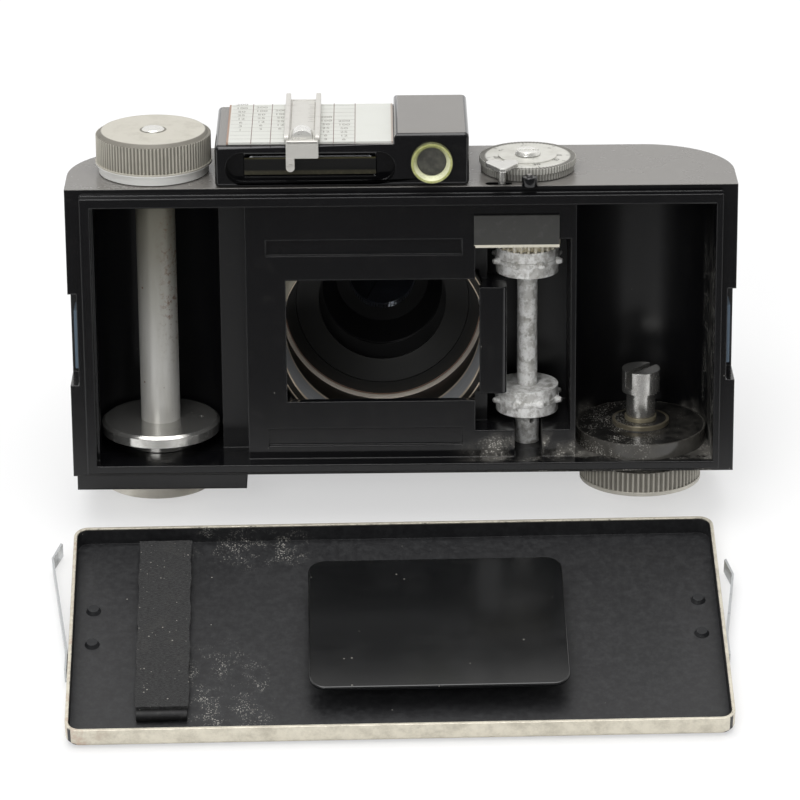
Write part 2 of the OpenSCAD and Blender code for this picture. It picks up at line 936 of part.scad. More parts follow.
// Bowed leaf under the pressure plate.
module plate_spring() {
  r = 42;
  rise = plate_top - 0.9 - sheet_t - slide_fit;
  half = sqrt(r * r - pow(r - rise, 2));
  color("#7d7d78")
    translate([plate_x, plate_y, 0])
      intersection() {
        translate([0, 5, sheet_t + rise - r])
          rotate([90, 0, 0])
            ring(r, r - 0.35, 0, 10);
        block(-half, half, -6, 6, sheet_t, sheet_t + rise + 1);
      }
}

module felt_strip() {
  color("#3c3c3c")
    translate([felt_x, felt_y, sheet_t + 1.2])
      linear_extrude(0.9)
        round_square(felt_w, felt_len, 1);
}

module felt_leaf() {
  color("#8a8a86")
    translate([felt_x, felt_y, 0]) {
      block(-3, 3, -felt_len / 2 - 0.8, felt_len / 2 - 1, sheet_t + 0.8, sheet_t + 1.2);
      block(-3, 3, felt_len / 2 - 8, felt_len / 2 - 1, sheet_t, sheet_t + 0.9);
      translate([0, -felt_len / 2 - 1, sheet_t + 1])
        rotate([0, 90, 0])
          translate([0, 0, -4.6])
            cylinder(h = 9.2, r = 0.95);
    }
}

// One latch: a strip along the side wall that springs out toward its free end.
module latch_spring(side, y0, y1, bow) {
  wall = cover_w / 2;
  color("#9aa0a4")
    translate([0, 0, 0.6])
      linear_extrude(3)
        polygon([for (p = [[0, y0], [0, y0 + latch_foot], [bow, y1 - 4], [bow * 0.55, y1],
            [bow * 0.55 + latch_t, y1 + 0.3], [bow + latch_t, y1 - 4],
            [latch_t, y0 + latch_foot - 0.5], [latch_t, y0]])
          [side * (wall + p[0]), p[1]]]);
}

module latch_spring_left() {
  latch_spring(-1, latch_left_y, 24, latch_bow_left);
}

module latch_spring_right() {
  latch_spring(1, latch_right_y, 16, latch_bow_right);
}

leaning() body_shell();
leaning() finder_housing();
leaning() calculator_plate();
leaning() meter_wedge();
leaning() finder_front_glass();
leaning() eyepiece_ring();
leaning() eyepiece_glass();
leaning() meter_slider();
leaning() film_catch();
leaning() counter_index();
leaning() counter_dial();
leaning() catch_disc();
leaning() dial_screw();
leaning() gear_cover();
leaning() counter_gear();
leaning() upper_sprocket();
leaning() lower_sprocket();
leaning() sprocket_shaft();
leaning() spool_bush();
leaning() winding_knob();
leaning() knob_rivet();
leaning() spool_shaft();
leaning() spool_flange();
leaning() rewind_knob();
leaning() rewind_fork();
leaning() rewind_bush();
leaning() rewind_sleeve();
leaning() tripod_plate();
leaning() catch_plates();
leaning() lens_flange();
leaning() flange_screws();
leaning() lens_barrel();
leaning() rear_baffle();
leaning() focus_ring();
leaning() shutter_case();
leaning() shutter_leaves();
leaning() shutter_face();
leaning() speed_ring();
leaning() aperture_lever();
leaning() release_lever();
leaning() cable_socket();
leaning() front_glass();
leaning() rear_glass();
leaning() glass_retainer();
lying() cover_tray();
lying() cover_rivets();
lying() pressure_plate();
lying() plate_spring();
lying() felt_strip();
lying() felt_leaf();
lying() latch_spring_left();
lying() latch_spring_right();
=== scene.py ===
"""Looks of a compact 35 mm camera, open, with its cover beside it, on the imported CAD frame."""
import json
import math

import bmesh
import bpy
from mathutils import Matrix, Vector

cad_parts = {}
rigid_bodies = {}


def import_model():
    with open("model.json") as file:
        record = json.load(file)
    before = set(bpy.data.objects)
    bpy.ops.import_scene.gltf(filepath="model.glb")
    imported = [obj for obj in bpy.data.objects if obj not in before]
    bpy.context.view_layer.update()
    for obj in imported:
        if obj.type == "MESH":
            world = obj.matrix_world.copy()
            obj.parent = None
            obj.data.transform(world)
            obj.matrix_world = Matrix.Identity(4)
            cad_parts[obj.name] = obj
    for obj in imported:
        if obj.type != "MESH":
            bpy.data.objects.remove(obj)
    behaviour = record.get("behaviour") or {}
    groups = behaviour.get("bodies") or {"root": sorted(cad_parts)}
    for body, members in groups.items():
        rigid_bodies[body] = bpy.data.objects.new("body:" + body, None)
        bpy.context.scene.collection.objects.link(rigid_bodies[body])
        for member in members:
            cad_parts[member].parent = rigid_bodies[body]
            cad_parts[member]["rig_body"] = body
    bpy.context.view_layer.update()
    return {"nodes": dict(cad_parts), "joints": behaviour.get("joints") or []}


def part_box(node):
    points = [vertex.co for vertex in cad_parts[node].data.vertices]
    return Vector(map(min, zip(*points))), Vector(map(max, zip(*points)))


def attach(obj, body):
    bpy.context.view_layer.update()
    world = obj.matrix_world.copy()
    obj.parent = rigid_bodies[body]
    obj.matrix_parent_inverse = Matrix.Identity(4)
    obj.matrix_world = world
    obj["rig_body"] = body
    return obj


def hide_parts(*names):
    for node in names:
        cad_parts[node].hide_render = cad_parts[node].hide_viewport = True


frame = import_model()

bl_info = {
    "name": "Compact film camera",
    "version": (1, 0, 0),
    "blender": (4, 5, 0),
    "location": "3D View > Sidebar > Film camera",
    "description": "Dresses the packed model of an open 35 mm camera",
    "category": "Object",
}

NODES = frame["nodes"]
JOINTS = {joint["name"]: joint for joint in frame["joints"]}
MM = 0.001


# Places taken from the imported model

def body_matrix():
    """From millimetres of the upright body to metres of the row frame."""
    up = Vector(JOINTS["winding"]["axis"]).normalized()
    ahead = Vector(JOINTS["focusing"]["axis"]).normalized()
    across = ahead.cross(up)
    spool = Vector(JOINTS["winding"]["pos_m"])
    corner = spool - MM * (SPOOL[0] * across + SPOOL[1] * ahead + SPOOL[2] * up)
    turn = Matrix((across, ahead, up)).transposed().to_4x4()
    return Matrix.Translation(corner) @ turn @ Matrix.Scale(MM, 4)


def cover_matrix():
    """From millimetres of the lying cover to metres of the row frame."""
    low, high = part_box("cover_tray")
    middle = (low + high) / 2
    turn = Matrix.Rotation(math.radians(COVER_TURN), 4, "Z")
    return Matrix.Translation((middle.x, middle.y, 0)) @ turn @ Matrix.Scale(MM, 4)


# Axes, in millimetres of the upright body: across and ahead, for the spool also up
SPOOL = (-45.9, 13.6, 30.0)
WHEELS = (23.6, 12.4)
REWIND = (45.2, 13.0)
# Middles of the gate, which is the lens axis, and of the eyepiece: across and up
GATE = (-3.6, 25.9)
EYE = (5.65, 61.1)
# Heights of the flat tops, and of the end of the winding knob's foot, which has a painted highlight
TOP = 56.4
BOSS_TOP = TOP + 2.3
METER_TOP = 64.6
FINDER_TOP = 66.6
PLATE_TOP = 65.0
DIAL_TOP = 59.0
KNOB_LIP = 58.4
# Right end of the low part of the housing, and a bound that nothing reaches
PLATE_END = -1.4
BEYOND = 99.0
# Round rooms behind the gate, as radius, near end and far end, and where they end at the right
ROOMS = ((21.1, 5.0, 12.0), (20.3, 11.9, 26.5))
ROOM_END = 15.1
# Outlines of the parts in the lens tube, as points of radius and depth
SEAT = ((21.0, 7.0), (19.2, 7.0), (18.5, 14.0), (18.5, 14.5), (19.5, 14.7), (19.55, 25.4),
        (19.1, 25.8), (18.9, 26.1), (18.9, 26.4), (20.2, 26.4), (20.2, 11.85), (21.0, 11.8))
SEAT_END = 15.0
BARREL = ((18.85, 26.15), (16.6, 26.5), (16.6, 44.5), (17.8, 44.5), (17.8, 26.48), (18.85, 26.45))
MASK = ((16.5, 26.6), (12.2, 27.6), (12.2, 28.2), (16.5, 27.4))
BACKING = ((0.2, 46.6), (0.2, 46.7), (11.4, 46.7), (11.4, 46.6))
# Degrees by which the cover lies askew and by which the fork is turned
COVER_TURN = 0.8
FORK_TURN = -79.0
# Shares of the solids' sizes: pressure plate, its leaf's height, left latch and sprocket shaft
PLATE_GROWTH = (1.03, 1.075)
LEAF_HEIGHT = 0.78
LATCH_WIDTH = 0.95
SHAFT_WIDTH = 0.985
# Points of a copied solid closer than this are merged, in metres
MERGED = 0.002 * MM
# Degrees of the corners that are broken, and below which faces shade as one round surface
CORNER = 30.0
ROUND = 30.0
BROKEN_ROUND = 32.0
FELT_ROUND = 70.0
BODY = body_matrix()
COVER = cover_matrix()


class Term:
    """A socket of a node tree, on which arithmetic adds Math nodes."""

    def __init__(self, tree, socket):
        self.tree = tree
        self.socket = socket

    def math(self, operation, *values):
        return self.tree.node("ShaderNodeMath", {"operation": operation}, *values)

    def __add__(self, other):
        return self.math("ADD", self, other)

    def __sub__(self, other):
        return self.math("SUBTRACT", self, other)

    def __mul__(self, other):
        return self.math("MULTIPLY", self, other)

    def __rsub__(self, other):
        return self.math("SUBTRACT", other, self)

    def __pow__(self, other):
        return self.math("POWER", self, other)

    __radd__ = __add__
    __rmul__ = __mul__

    def step(self, low, high, start=0.0, end=1.0):
        """From start at low to end at high, smooth in between; low may be the larger."""
        settings = {"interpolation_type": "SMOOTHSTEP"}
        return self.tree.node("ShaderNodeMapRange", settings, self, low, high, start, end)

    def band(self, low, high, soft):
        """1 between low and high, and 0 beyond a soft edge outside them."""
        return self.step(low - soft, low) * self.step(high + soft, high)

    def wave(self):
        return self.math("SINE", self)

    def size(self):
        return self.math("ABSOLUTE", self)


def larger(one, other):
    return one.math("MAXIMUM", one, other)


class Tree:
    """The nodes of a material or a world, added by plain calls."""

    def __init__(self, owner):
        owner.use_nodes = True
        self.tree = owner.node_tree

    def put(self, socket, value):
        if isinstance(value, Term):
            self.tree.links.new(value.socket, socket)
        elif socket.type == "RGBA":
            socket.default_value = (*value[:3], 1.0)
        else:
            socket.default_value = value

    def node(self, kind, settings, *values, out=0, **named):
        """A new node with its settings; its first inputs are given in order, others by name."""
        made = self.tree.nodes.new(kind)
        for key, value in settings.items():
            setattr(made, key, value)
        for socket, value in zip(made.inputs, values):
            self.put(socket, value)
        for key, value in named.items():
            self.put(made.inputs[key.replace("_", " ")], value)
        return Term(self, made.outputs[out])


class Finish(Tree):
    """One material: its shader, and its place in millimetres of the body or the cover."""

    def __init__(self, name, where=BODY, **numbers):
        self.material = bpy.data.materials.new(name)
        super().__init__(self.material)
        self.shader = self.tree.nodes["Principled BSDF"]
        place = where.inverted()
        spot = self.node("ShaderNodeTexCoord", {}, out="Object")
        self.point = self.node("ShaderNodeMapping", {"vector_type": "POINT"}, spot,
                               Location=place.to_translation(), Rotation=place.to_euler(),
                               Scale=place.to_scale())
        parts = self.tree.nodes.new("ShaderNodeSeparateXYZ")
        self.put(parts.inputs[0], self.point)
        self.x, self.y, self.z = (Term(self, out) for out in parts.outputs)
        self.set(**numbers)

    def mix(self, factor, first, second):
        """The first colour where the factor is 0, the second where it is 1."""
        made = self.tree.nodes.new("ShaderNodeMix")
        made.data_type = "RGBA"
        # The sockets of a Mix node that colours use
        for number, value in ((0, factor), (6, first), (7, second)):
            self.put(made.inputs[number], value)
        return Term(self, made.outputs[2])

    def set(self, **numbers):
        for key, value in numbers.items():
            self.put(self.shader.inputs[key.replace("_", " ")], value)

    def noise(self, scale, detail, rough=0.55, stretch=None):
        point = self.point
        if stretch:
            point = self.node("ShaderNodeVectorMath", {"operation": "MULTIPLY"}, point, stretch)
        return self.node("ShaderNodeTexNoise", {}, Vector=point, Scale=scale, Detail=detail, Roughness=rough)

    def specks(self, scale, size, share):
        """Small round grains; share is how much of the cells hold one."""
        cell = self.tree.nodes.new("ShaderNodeTexVoronoi")
        self.put(cell.inputs["Vector"], self.point)
        self.put(cell.inputs["Scale"], scale)
        tint = self.tree.nodes.new("ShaderNodeSeparateColor")
        self.put(tint.inputs[0], Term(self, cell.outputs["Color"]))
        pick = Term(self, tint.outputs[0])
        reach = Term(self, tint.outputs[1]) * size + size * 0.4
        near = Term(self, cell.outputs["Distance"])
        return (reach - near).step(0.0, size * 0.4) * (share - pick).step(0.0, 0.02)

    def around(self, middle, axis="z"):
        """Distance from an axis of the body."""
        one, two = {"z": (self.x, self.y), "y": (self.x, self.z)}[axis]
        across = one - middle[0]
        along = two - middle[1]
        return (across * across + along * along) ** 0.5

    def bump(self, height, distance, strength, edge=0.0):
        """Relief on the surface; an edge rounds the light on corners that are sharp in the mesh."""
        made = {"Strength": strength, "Distance": distance * MM, "Height": height}
        if edge:
            made["Normal"] = self.node("ShaderNodeBevel", {"samples": 6}, Radius=edge * MM)
        self.put(self.shader.inputs["Normal"], self.node("ShaderNodeBump", {}, **made))


def shade(hexcode):
    """A written colour as linear light."""
    out = []
    for start in (0, 2, 4):
        value = int(hexcode[start:start + 2], 16) / 255
        out.append(value / 12.92 if value <= 0.04045 else ((value + 0.055) / 1.055) ** 2.4)
    return tuple(out)


# Finishes

def moulded_resin(name, tops=((TOP, BEYOND),), dust=1.0, gloss=0.12, edge=0.35):
    """Polished black resin with dust on its floors.

    It has a painted grey reflection on its flat tops, each given by its height and its right end.
    """
    f = Finish(name, IOR=1.56)
    haze_and_reflection = f.noise(0.045, 3.0)
    # Painted reflection: the flat tops are painted grey where the overhead light mirrors in the polished
    # resin
    flat = sum(f.z.band(top - 0.03, top + 0.1, 0.05) * f.x.step(right, right - 0.1) for top, right in tops)
    floors = f.z.step(8.4, 4.6) * f.x.step(8.0, 22.0) * f.noise(0.2, 5.0, 0.6).step(0.4, 0.68)
    wall = f.x.band(55.3, 58.6, 0.5) * f.z.band(12.0, 36.0, 12.0) * f.noise(0.3, 5.0, 0.6).step(0.35, 0.7)
    heap = floors * f.y.band(1.5, 22.0, 1.0) * f.x.step(58.6, 57.6)
    grains = f.specks(4.4, 0.5, 0.5) * larger(heap.step(0.05, 0.9), wall * f.y.band(1.5, 17.0, 1.0))
    grains = larger(grains, f.specks(1.9, 0.3, 0.3) * heap.step(0.35, 0.8))
    grains = larger(grains, f.specks(0.75, 0.07, 0.045)) * dust
    ground = f.z.step(6.4, 4.9) * f.x.step(24.0, 33.0) * f.y.band(4.0, 22.0, 1.5) * 0.16
    film = (heap * 0.4 + ground) * dust + f.noise(0.4, 5.0, 0.7).step(0.5, 0.9) * 0.025
    base = f.mix(film, shade("0C0C0E"), shade("9A968E"))
    # The painted grey reflection on the flat tops, varied by the haze noise
    base = f.mix(flat * (0.85 + haze_and_reflection * 0.2), base, shade("787571"))
    f.set(Base_Color=f.mix(grains * 0.8, base, shade("D4D1C9")))
    inside = f.y.step(4.0, 9.0) * f.z.step(55.0, 54.0)
    f.set(Roughness=gloss + haze_and_reflection * 0.06 + flat * 0.12 + inside * 0.16 + film * 1.2 + grains * 0.5)
    f.bump(grains, 0.03, 0.4, edge)
    return f.material


def turned_metal(name, middle, tint, rough, dirt_and_shade_from=BEYOND, axis="z", shine=0.6, lip=0.0):
    """Bare aluminium or steel turned on a lathe, dull in patches.

    Its grooves inward of dirt_and_shade_from hold dirt and painted shade; it has a painted highlight up to
    lip.
    """
    f = Finish(name, Metallic=shine)
    radius = f.around(middle, axis)
    patches = f.noise(0.22, 5.0, 0.65)
    fine = f.noise(2.2, 3.0, 0.6)
    rings = (radius * 21.0 + fine * 1.5).wave()
    tarnish = patches.step(0.42, 0.78)
    # Dirt and painted shade in the grooves between the flutes, darkened together with the dirt spots
    grooves = radius.step(dirt_and_shade_from, dirt_and_shade_from - 0.25) * radius.step(dirt_and_shade_from - 1.2, dirt_and_shade_from - 0.9)
    spots = f.specks(0.9, 0.12, 0.1)
    base = f.mix(tarnish * 0.35, shade(tint), shade("9B978C"))
    base = f.mix(larger(grooves * 0.7, spots * 0.4), base, shade("4A463F"))
    # Painted highlight: the polished foot of the winding knob is painted near-white up to the height lip
    base = f.mix(f.z.band(TOP + 0.1, lip, 0.1), base, shade("F2F2EF"))
    f.set(Base_Color=base)
    f.set(Roughness=rough + tarnish * 0.14 + fine * 0.1 + grooves * 0.2)
    f.bump(rings * 0.25 + fine * 0.5, 0.02, 0.5, 0.12)
    return f.material


def dark_floor():
    """Blackened disc on the floor of the cassette room, dusty, with a worn brass lip round its shaft."""
    f = Finish("blackened_disc")
    radius = f.around(REWIND)
    dusty = f.noise(0.25, 5.0, 0.65).step(0.35, 0.7)
    grains = f.specks(4.2, 0.5, 0.5) * (dusty * (REWIND[0] + 1.0 - f.x).step(-6.0, 6.0)).step(0.1, 0.9)
    lip = radius.band(4.9, 5.6, 0.1) * f.z.step(5.7, 5.9)
    # Painted highlight: a thin light ring along the edge of the disc's rim
    rim = radius.band(11.95, 12.5, 0.06)
    base = f.mix(dusty * 0.1 + rim * 0.14 + 0.02, shade("0C0C0D"), shade("9A968E"))
    base = f.mix(lip, base, shade("8B8370"))
    f.set(Base_Color=f.mix(grains * 0.75, base, shade("C9C6BE")))
    f.set(Metallic=lip * 0.7, Roughness=0.16 + dusty * 0.12 + grains * 0.5 + lip * 0.15)
    f.bump(grains, 0.03, 0.4, 0.2)
    return f.material


def printed_plate():
    """Plate of the calculator, brushed from back to front, brown at both ends."""
    f = Finish("satin_plate", Metallic=0.15)
    brushed = f.noise(0.7, 3.0, 0.6, (6.0, 0.15, 1.0))
    patches = f.noise(0.15, 4.0)
    edge = larger(f.x.step(-31.55, -31.75), f.x.step(-1.9, -1.6) * 0.6)
    base = f.mix(patches.step(0.4, 0.8) * 0.3, shade("D6D7D1"), shade("C8C8C0"))
    base = f.mix(edge * 0.8, base, shade("8A5A3A"))
    f.set(Base_Color=base, Roughness=0.42 + brushed * 0.15)
    f.bump(brushed, 0.01, 0.2)
    return f.material


def bright_metal(name="bright_metal", tint="D6D5D0", rough=0.16, shine=0.85):
    """Polished nickel with small scratches."""
    f = Finish(name, Metallic=shine)
    patches = f.noise(0.5, 4.0)
    scratches = f.noise(1.4, 3.0, 0.6, (0.3, 2.5, 2.5))
    f.set(Base_Color=f.mix(patches.step(0.5, 0.85) * 0.3, shade(tint), shade("8C8982")))
    f.set(Roughness=rough + patches.step(0.3, 0.8) * 0.1 + scratches * 0.08)
    f.bump(scratches, 0.01, 0.25, 0.12)
    return f.material


def rusty_steel():
    """Spool shaft, streaked along its length, spotted, and rusty at the right."""
    f = Finish("spotted_steel", Metallic=0.4)
    along = f.noise(0.5, 4.0, 0.6, (1.0, 1.0, 0.12))
    rust = f.noise(0.9, 5.0, 0.75).step(0.5, 0.68)
    rust = rust * f.z.step(14.0, 30.0) * f.x.step(SPOOL[0] - 0.5, SPOOL[0] + 3.0)
    spots = f.specks(0.8, 0.16, 0.22) * f.noise(0.2, 2.0).step(0.38, 0.6)
    mask = larger(rust * 0.85, spots * 0.75)
    base = f.mix(along.step(0.3, 0.8) * 0.5, shade("CFCECA"), shade("A5A299"))
    base = f.mix(f.z.step(12.0, 52.0) * 0.9, base, shade("6A6758"))
    f.set(Base_Color=f.mix(mask, base, shade("6B4527")))
    f.set(Roughness=0.34 + along * 0.08 + mask * 0.35)
    f.bump(mask * 0.6, 0.03, 0.3)
    return f.material


def corroded_alloy(name="powdery_alloy", powder=0.7):
    """Bare alloy under a white, powdery bloom."""
    f = Finish(name)
    bloom = f.noise(0.8, 6.0, 0.72).step(0.34 + 0.2 * (1 - powder), 0.58)
    pits = f.noise(2.2, 5.0, 0.75).step(0.56, 0.68)
    bare = f.mix(f.noise(0.6, 4.0).step(0.4, 0.7), shade("CCCBC7"), shade("A9A7A1"))
    white = f.mix(pits * 0.8, shade("E6E6E4"), shade("A4A39E"))
    f.set(Base_Color=f.mix(bloom, bare, white))
    f.set(Metallic=0.35 - bloom * 0.32, Roughness=0.42 + bloom * 0.35)
    f.bump(bloom * 0.8 - pits * 0.6, 0.04, 0.5, 0.15)
    return f.material


def gear_brass():
    """Brass under a pale bloom."""
    f = Finish("bloomed_brass")
    bloom = f.noise(1.1, 5.0, 0.7).step(0.4, 0.66)
    f.set(Base_Color=f.mix(bloom, shade("C4BB9F"), shade("E6E3D9")))
    f.set(Metallic=0.5 - bloom * 0.4, Roughness=0.35 + bloom * 0.3)
    f.bump(bloom, 0.04, 0.5)
    return f.material


def bush_brass():
    """Brass browned in patches."""
    f = Finish("bush_brass", Metallic=1.0)
    patches = f.noise(0.8, 4.0)
    f.set(Base_Color=f.mix(patches.step(0.35, 0.8), shade("A8894A"), shade("5E4A26")))
    f.set(Roughness=0.3 + patches * 0.25)
    f.bump(patches, 0.02, 0.3)
    return f.material


def tube_inside():
    """Inside of the lens tube: a bright seat and rim, dark brown between them, black toward the lens."""
    f = Finish("tube_inside")
    radius = f.around(GATE, "y")
    streaks = f.noise(0.5, 4.0, 0.6, (1.0, 3.0, 1.0))
    # The upper left of the tube, where the end face gets its painted reflection
    high = f.z.step(GATE[1] + 2.0, GATE[1] + 6.0) * f.x.step(4.0, -4.0)
    seat = f.y.band(7.05, 13.9, 0.05) * radius.step(19.45, 19.3)
    lines = larger(f.y.band(13.3, 14.0, 0.12), f.y.band(7.02, 7.5, 0.12)) * radius.step(19.45, 19.3)
    rim = f.y.band(25.35, 26.3, 0.1) * radius.step(18.7, 18.85)
    thread = radius.band(20.45, 20.62, 0.05) * f.y.step(7.1, 7.03)
    # Painted reflection: the upper left of the end face is painted beige where light falls on it; below it
    # stays black
    front = f.y.step(7.1, 7.03) * radius.step(19.3, 19.5) * high
    base = f.mix(streaks.step(0.3, 0.75), shade("1C1812"), shade("120F0B"))
    base = f.mix(f.y.step(26.2, 26.5), base, shade("0B0B08"))
    base = f.mix(seat * (0.7 + streaks * 0.4), base, shade("C9CBCE"))
    base = f.mix(larger(lines * 0.9, thread * 0.8), base, shade("F2E2CC"))
    base = f.mix(rim, base, shade("FBF0E2"))
    base = f.mix(f.y.band(26.1, 26.3, 0.05) * radius.step(18.7, 18.85), base, shade("9A5F3A"))
    base = f.mix(front, base, shade("A39E8E"))
    bright = larger(larger(seat, lines), larger(rim, thread))
    f.set(Base_Color=base, Metallic=bright * 0.65, Roughness=0.42 - bright * 0.14 + streaks * 0.1)
    f.bump((f.y * 9.0).wave() * 0.3 + streaks, 0.03, 0.3)
    return f.material


def dark_sheet(name="dark_sheet", tint="3F3F3D", bare="D8D3C4"):
    """Sheet blackened by hand, grey where it is rubbed."""
    f = Finish(name, Metallic=0.25)
    rubbed = f.noise(0.6, 5.0, 0.7).step(0.5, 0.8)
    grain = f.noise(6.0, 2.0)
    # The bare lip of the gear's cover
    edge = f.z.band(44.1, 44.72, 0.04) * f.x.band(12.0, 30.0, 0.4)
    base = f.mix(rubbed * 0.25, shade(tint), shade("6C6C69"))
    f.set(Base_Color=f.mix(edge, base, shade(bare)), Roughness=0.5 + grain * 0.2)
    f.bump(grain * 0.5 + rubbed * 0.5, 0.03, 0.4)
    return f.material


def black_enamel(name="black_enamel", gloss=0.22):
    """Black enamel with a few chips."""
    f = Finish(name, Coat_Weight=0.3, Coat_Roughness=0.15)
    patches = f.noise(0.3, 4.0)
    chips = f.noise(0.9, 5.0, 0.75).step(0.7, 0.76)
    f.set(Base_Color=f.mix(chips, shade("131314"), shade("8A8272")))
    f.set(Roughness=gloss + patches * 0.2, Metallic=chips * 0.8)
    f.bump(patches * 0.6 - chips, 0.03, 0.35)
    return f.material


def cover_paint(half_wide, half_long, height):
    """Satin black inside with dust, bare worn metal on the outside of the wall and along the rim."""
    f = Finish("cover_sheet", COVER)
    across = f.x.size()
    along = f.y.size()
    outside = larger(larger(across.step(half_wide, half_wide + 0.1), along.step(half_long, half_long + 0.1)),
                     f.z.step(height - 0.35, height - 0.02) * f.noise(1.1, 4.0).step(0.2, 0.5))
    worn = f.noise(0.35, 6.0, 0.7)
    heap = f.x.band(-37.0, -27.0, 7.0) * f.y.step(6.0, -16.0)
    heap = heap + f.x.band(-34.0, -20.0, 7.0) * f.y.step(16.0, 25.0)
    heap = heap * f.noise(0.3, 5.0, 0.65).step(0.38, 0.7) + f.noise(0.05, 3.0).step(0.5, 0.8) * 0.15
    grains = larger(f.specks(4.2, 0.5, 0.5) * heap.step(0.05, 0.9), f.specks(0.7, 0.07, 0.07))
    film = f.noise(0.9, 5.0, 0.75).step(0.35, 0.8)
    paint = f.mix(film * 0.6 + heap * 0.35, shade("1C1C1E"), shade("38393A"))
    paint = f.mix(grains * 0.7, paint, shade("B9B6AE"))
    rub = f.noise(0.7, 6.0, 0.75).step(0.66, 0.72) * f.x.step(5.0, 30.0)
    metal = f.mix(worn.step(0.35, 0.75), shade("D9D3C3"), shade("B9B3A4"))
    metal = f.mix(rub * 0.7, metal, shade("5B564C"))
    metal = f.mix(f.x.step(-50.0, -59.0) * worn.step(0.5, 0.7) * 0.4, metal, shade("C79A84"))
    f.set(Base_Color=f.mix(outside, paint, metal))
    f.set(Metallic=outside * 0.45, Roughness=0.42 + film * 0.12 + grains * 0.3 - outside * 0.05)
    f.bump(f.noise(3.5, 3.0) * 0.6 + grains * 1.5, 0.03, 0.35)
    return f.material


def plate_lacquer():
    """Glossy black of the pressure plate, finely streaked and hazed."""
    f = Finish("plate_lacquer", COVER, Coat_Weight=0.4, Coat_Roughness=0.12)
    lines = f.noise(0.6, 3.0, 0.6, (0.12, 2.5, 1.0))
    grains = f.specks(0.7, 0.14, 0.1)
    haze = f.noise(0.1, 4.0).step(0.45, 0.8)
    base = f.mix(haze * 0.3, shade("0B0C0D"), shade("151618"))
    f.set(Base_Color=f.mix(grains * 0.5, base, shade("9A978F")))
    f.set(Roughness=0.16 + lines * 0.08 + haze * 0.06)
    f.bump(lines * 0.3 + grains, 0.01, 0.25)
    return f.material


def felt_cloth():
    """Black felt with its fibres and lint."""
    f = Finish("felt_cloth", COVER, Sheen_Weight=0.12, Sheen_Roughness=0.6)
    fibres = f.noise(2.6, 6.0, 0.7, (0.6, 2.6, 1.0))
    patches = f.noise(0.25, 4.0)
    lint = f.specks(1.6, 0.2, 0.2)
    base = f.mix(fibres.step(0.4, 0.62), shade("0E0E0F"), shade("343434"))
    base = f.mix(patches.step(0.5, 0.8) * 0.2, base, shade("4A4843"))
    f.set(Base_Color=f.mix(lint * 0.8, base, shade("A9A59C")), Roughness=0.95)
    f.bump(fibres * 1.4 + lint, 0.12, 0.9)
    return f.material


def spring_steel(name="spring_steel", dull=0.25):
    """Bright strip steel, finely streaked and spotted."""
    f = Finish(name, COVER, Metallic=1.0)
    lines = f.noise(1.0, 3.0, 0.6, (2.5, 0.2, 2.5))
    spots = f.noise(0.7, 5.0, 0.7).step(0.55, 0.8)
    f.set(Base_Color=f.mix(spots * 0.6, shade("C3C6C8"), shade("6B665D")))
    f.set(Roughness=dull + lines * 0.1 + spots * 0.2)
    f.bump(lines * 0.5 + spots * 0.4, 0.02, 0.4)
    return f.material


def clear_glass(name="clear_glass", tint="E8EEEA"):
    """Clear glass, hazed in patches."""
    f = Finish(name, Transmission_Weight=1.0, IOR=1.5)
    haze = f.noise(0.8, 4.0)
    f.set(Base_Color=shade(tint), Roughness=0.02 + haze.step(0.5, 0.9) * 0.12)
    return f.material


def aged_glass():
    """Eyepiece glass, clouded grey."""
    f = Finish("aged_glass", Coat_Weight=0.6, Coat_Roughness=0.08)
    cloud = f.noise(0.9, 4.0, 0.6)
    base = f.mix(cloud.step(0.3, 0.8), shade("3A3A36"), shade("55544D"))
    f.set(Base_Color=base, Roughness=0.25 + cloud * 0.2)
    return f.material


def yellowed_ring():
    """Eyepiece ring with yellowed lacquer, brightest inside its lower edge."""
    f = Finish("yellowed_ring", Metallic=0.25)
    radius = f.around(EYE, "y")
    worn = f.noise(1.2, 4.0, 0.7)
    # Painted light: inside the ring it is lighter toward its lower edge, where light falls in
    low = (EYE[1] + 2.2 - f.z + (f.x - EYE[0]) * 0.35).step(-1.0, 3.6)
    inner = radius.step(3.45, 3.3)
    # Painted shade inside the top of the ring, and darker round its outside edge
    dark = larger(radius.step(3.72, 3.78) * 0.7, (1 - low) * radius.step(3.0, 2.9) * 0.8)
    base = f.mix(worn.step(0.35, 0.75), shade("A7AA68"), shade("C3C58D"))
    base = f.mix(inner * low, base, shade("E2E3C0"))
    f.set(Base_Color=f.mix(dark, base, shade("43433A")), Roughness=0.35 + worn * 0.2)
    f.bump(worn, 0.02, 0.3, 0.1)
    return f.material


def plain_marks(name, tint, thin):
    """Thin ink, rubbed away in places."""
    f = Finish(name)
    worn = f.noise(1.2, 4.0, 0.7)
    f.set(Base_Color=f.mix(worn.step(0.35, 0.75), shade(tint), shade(thin)), Roughness=0.6)
    return f.material


def olive_wedge():
    """Wedge behind the meter's window, dark, olive above and dusty below."""
    f = Finish("olive_wedge", Metallic=0.3)
    bands = f.noise(0.5, 3.0, 0.6, (1.0, 1.0, 3.0))
    upper = f.z.step(61.2, 61.7) * f.x.step(-30.5, -27.0)
    lower = f.z.step(59.4, 58.9)
    grains = f.noise(1.6, 5.0, 0.8).step(0.45, 0.75)
    base = f.mix(upper * (0.5 + bands), shade("070706"), shade("55502E"))
    base = f.mix(lower * (0.5 + grains * 0.5), base, shade("56523F"))
    f.set(Base_Color=base, Roughness=0.45 + bands * 0.1)
    f.bump(bands + grains, 0.03, 0.4)
    return f.material


# Shapes


def meshed(name, shape):
    """The mesh of a shape, which is used up."""
    mesh = bpy.data.meshes.new(name)
    shape.to_mesh(mesh)
    shape.free()
    return mesh


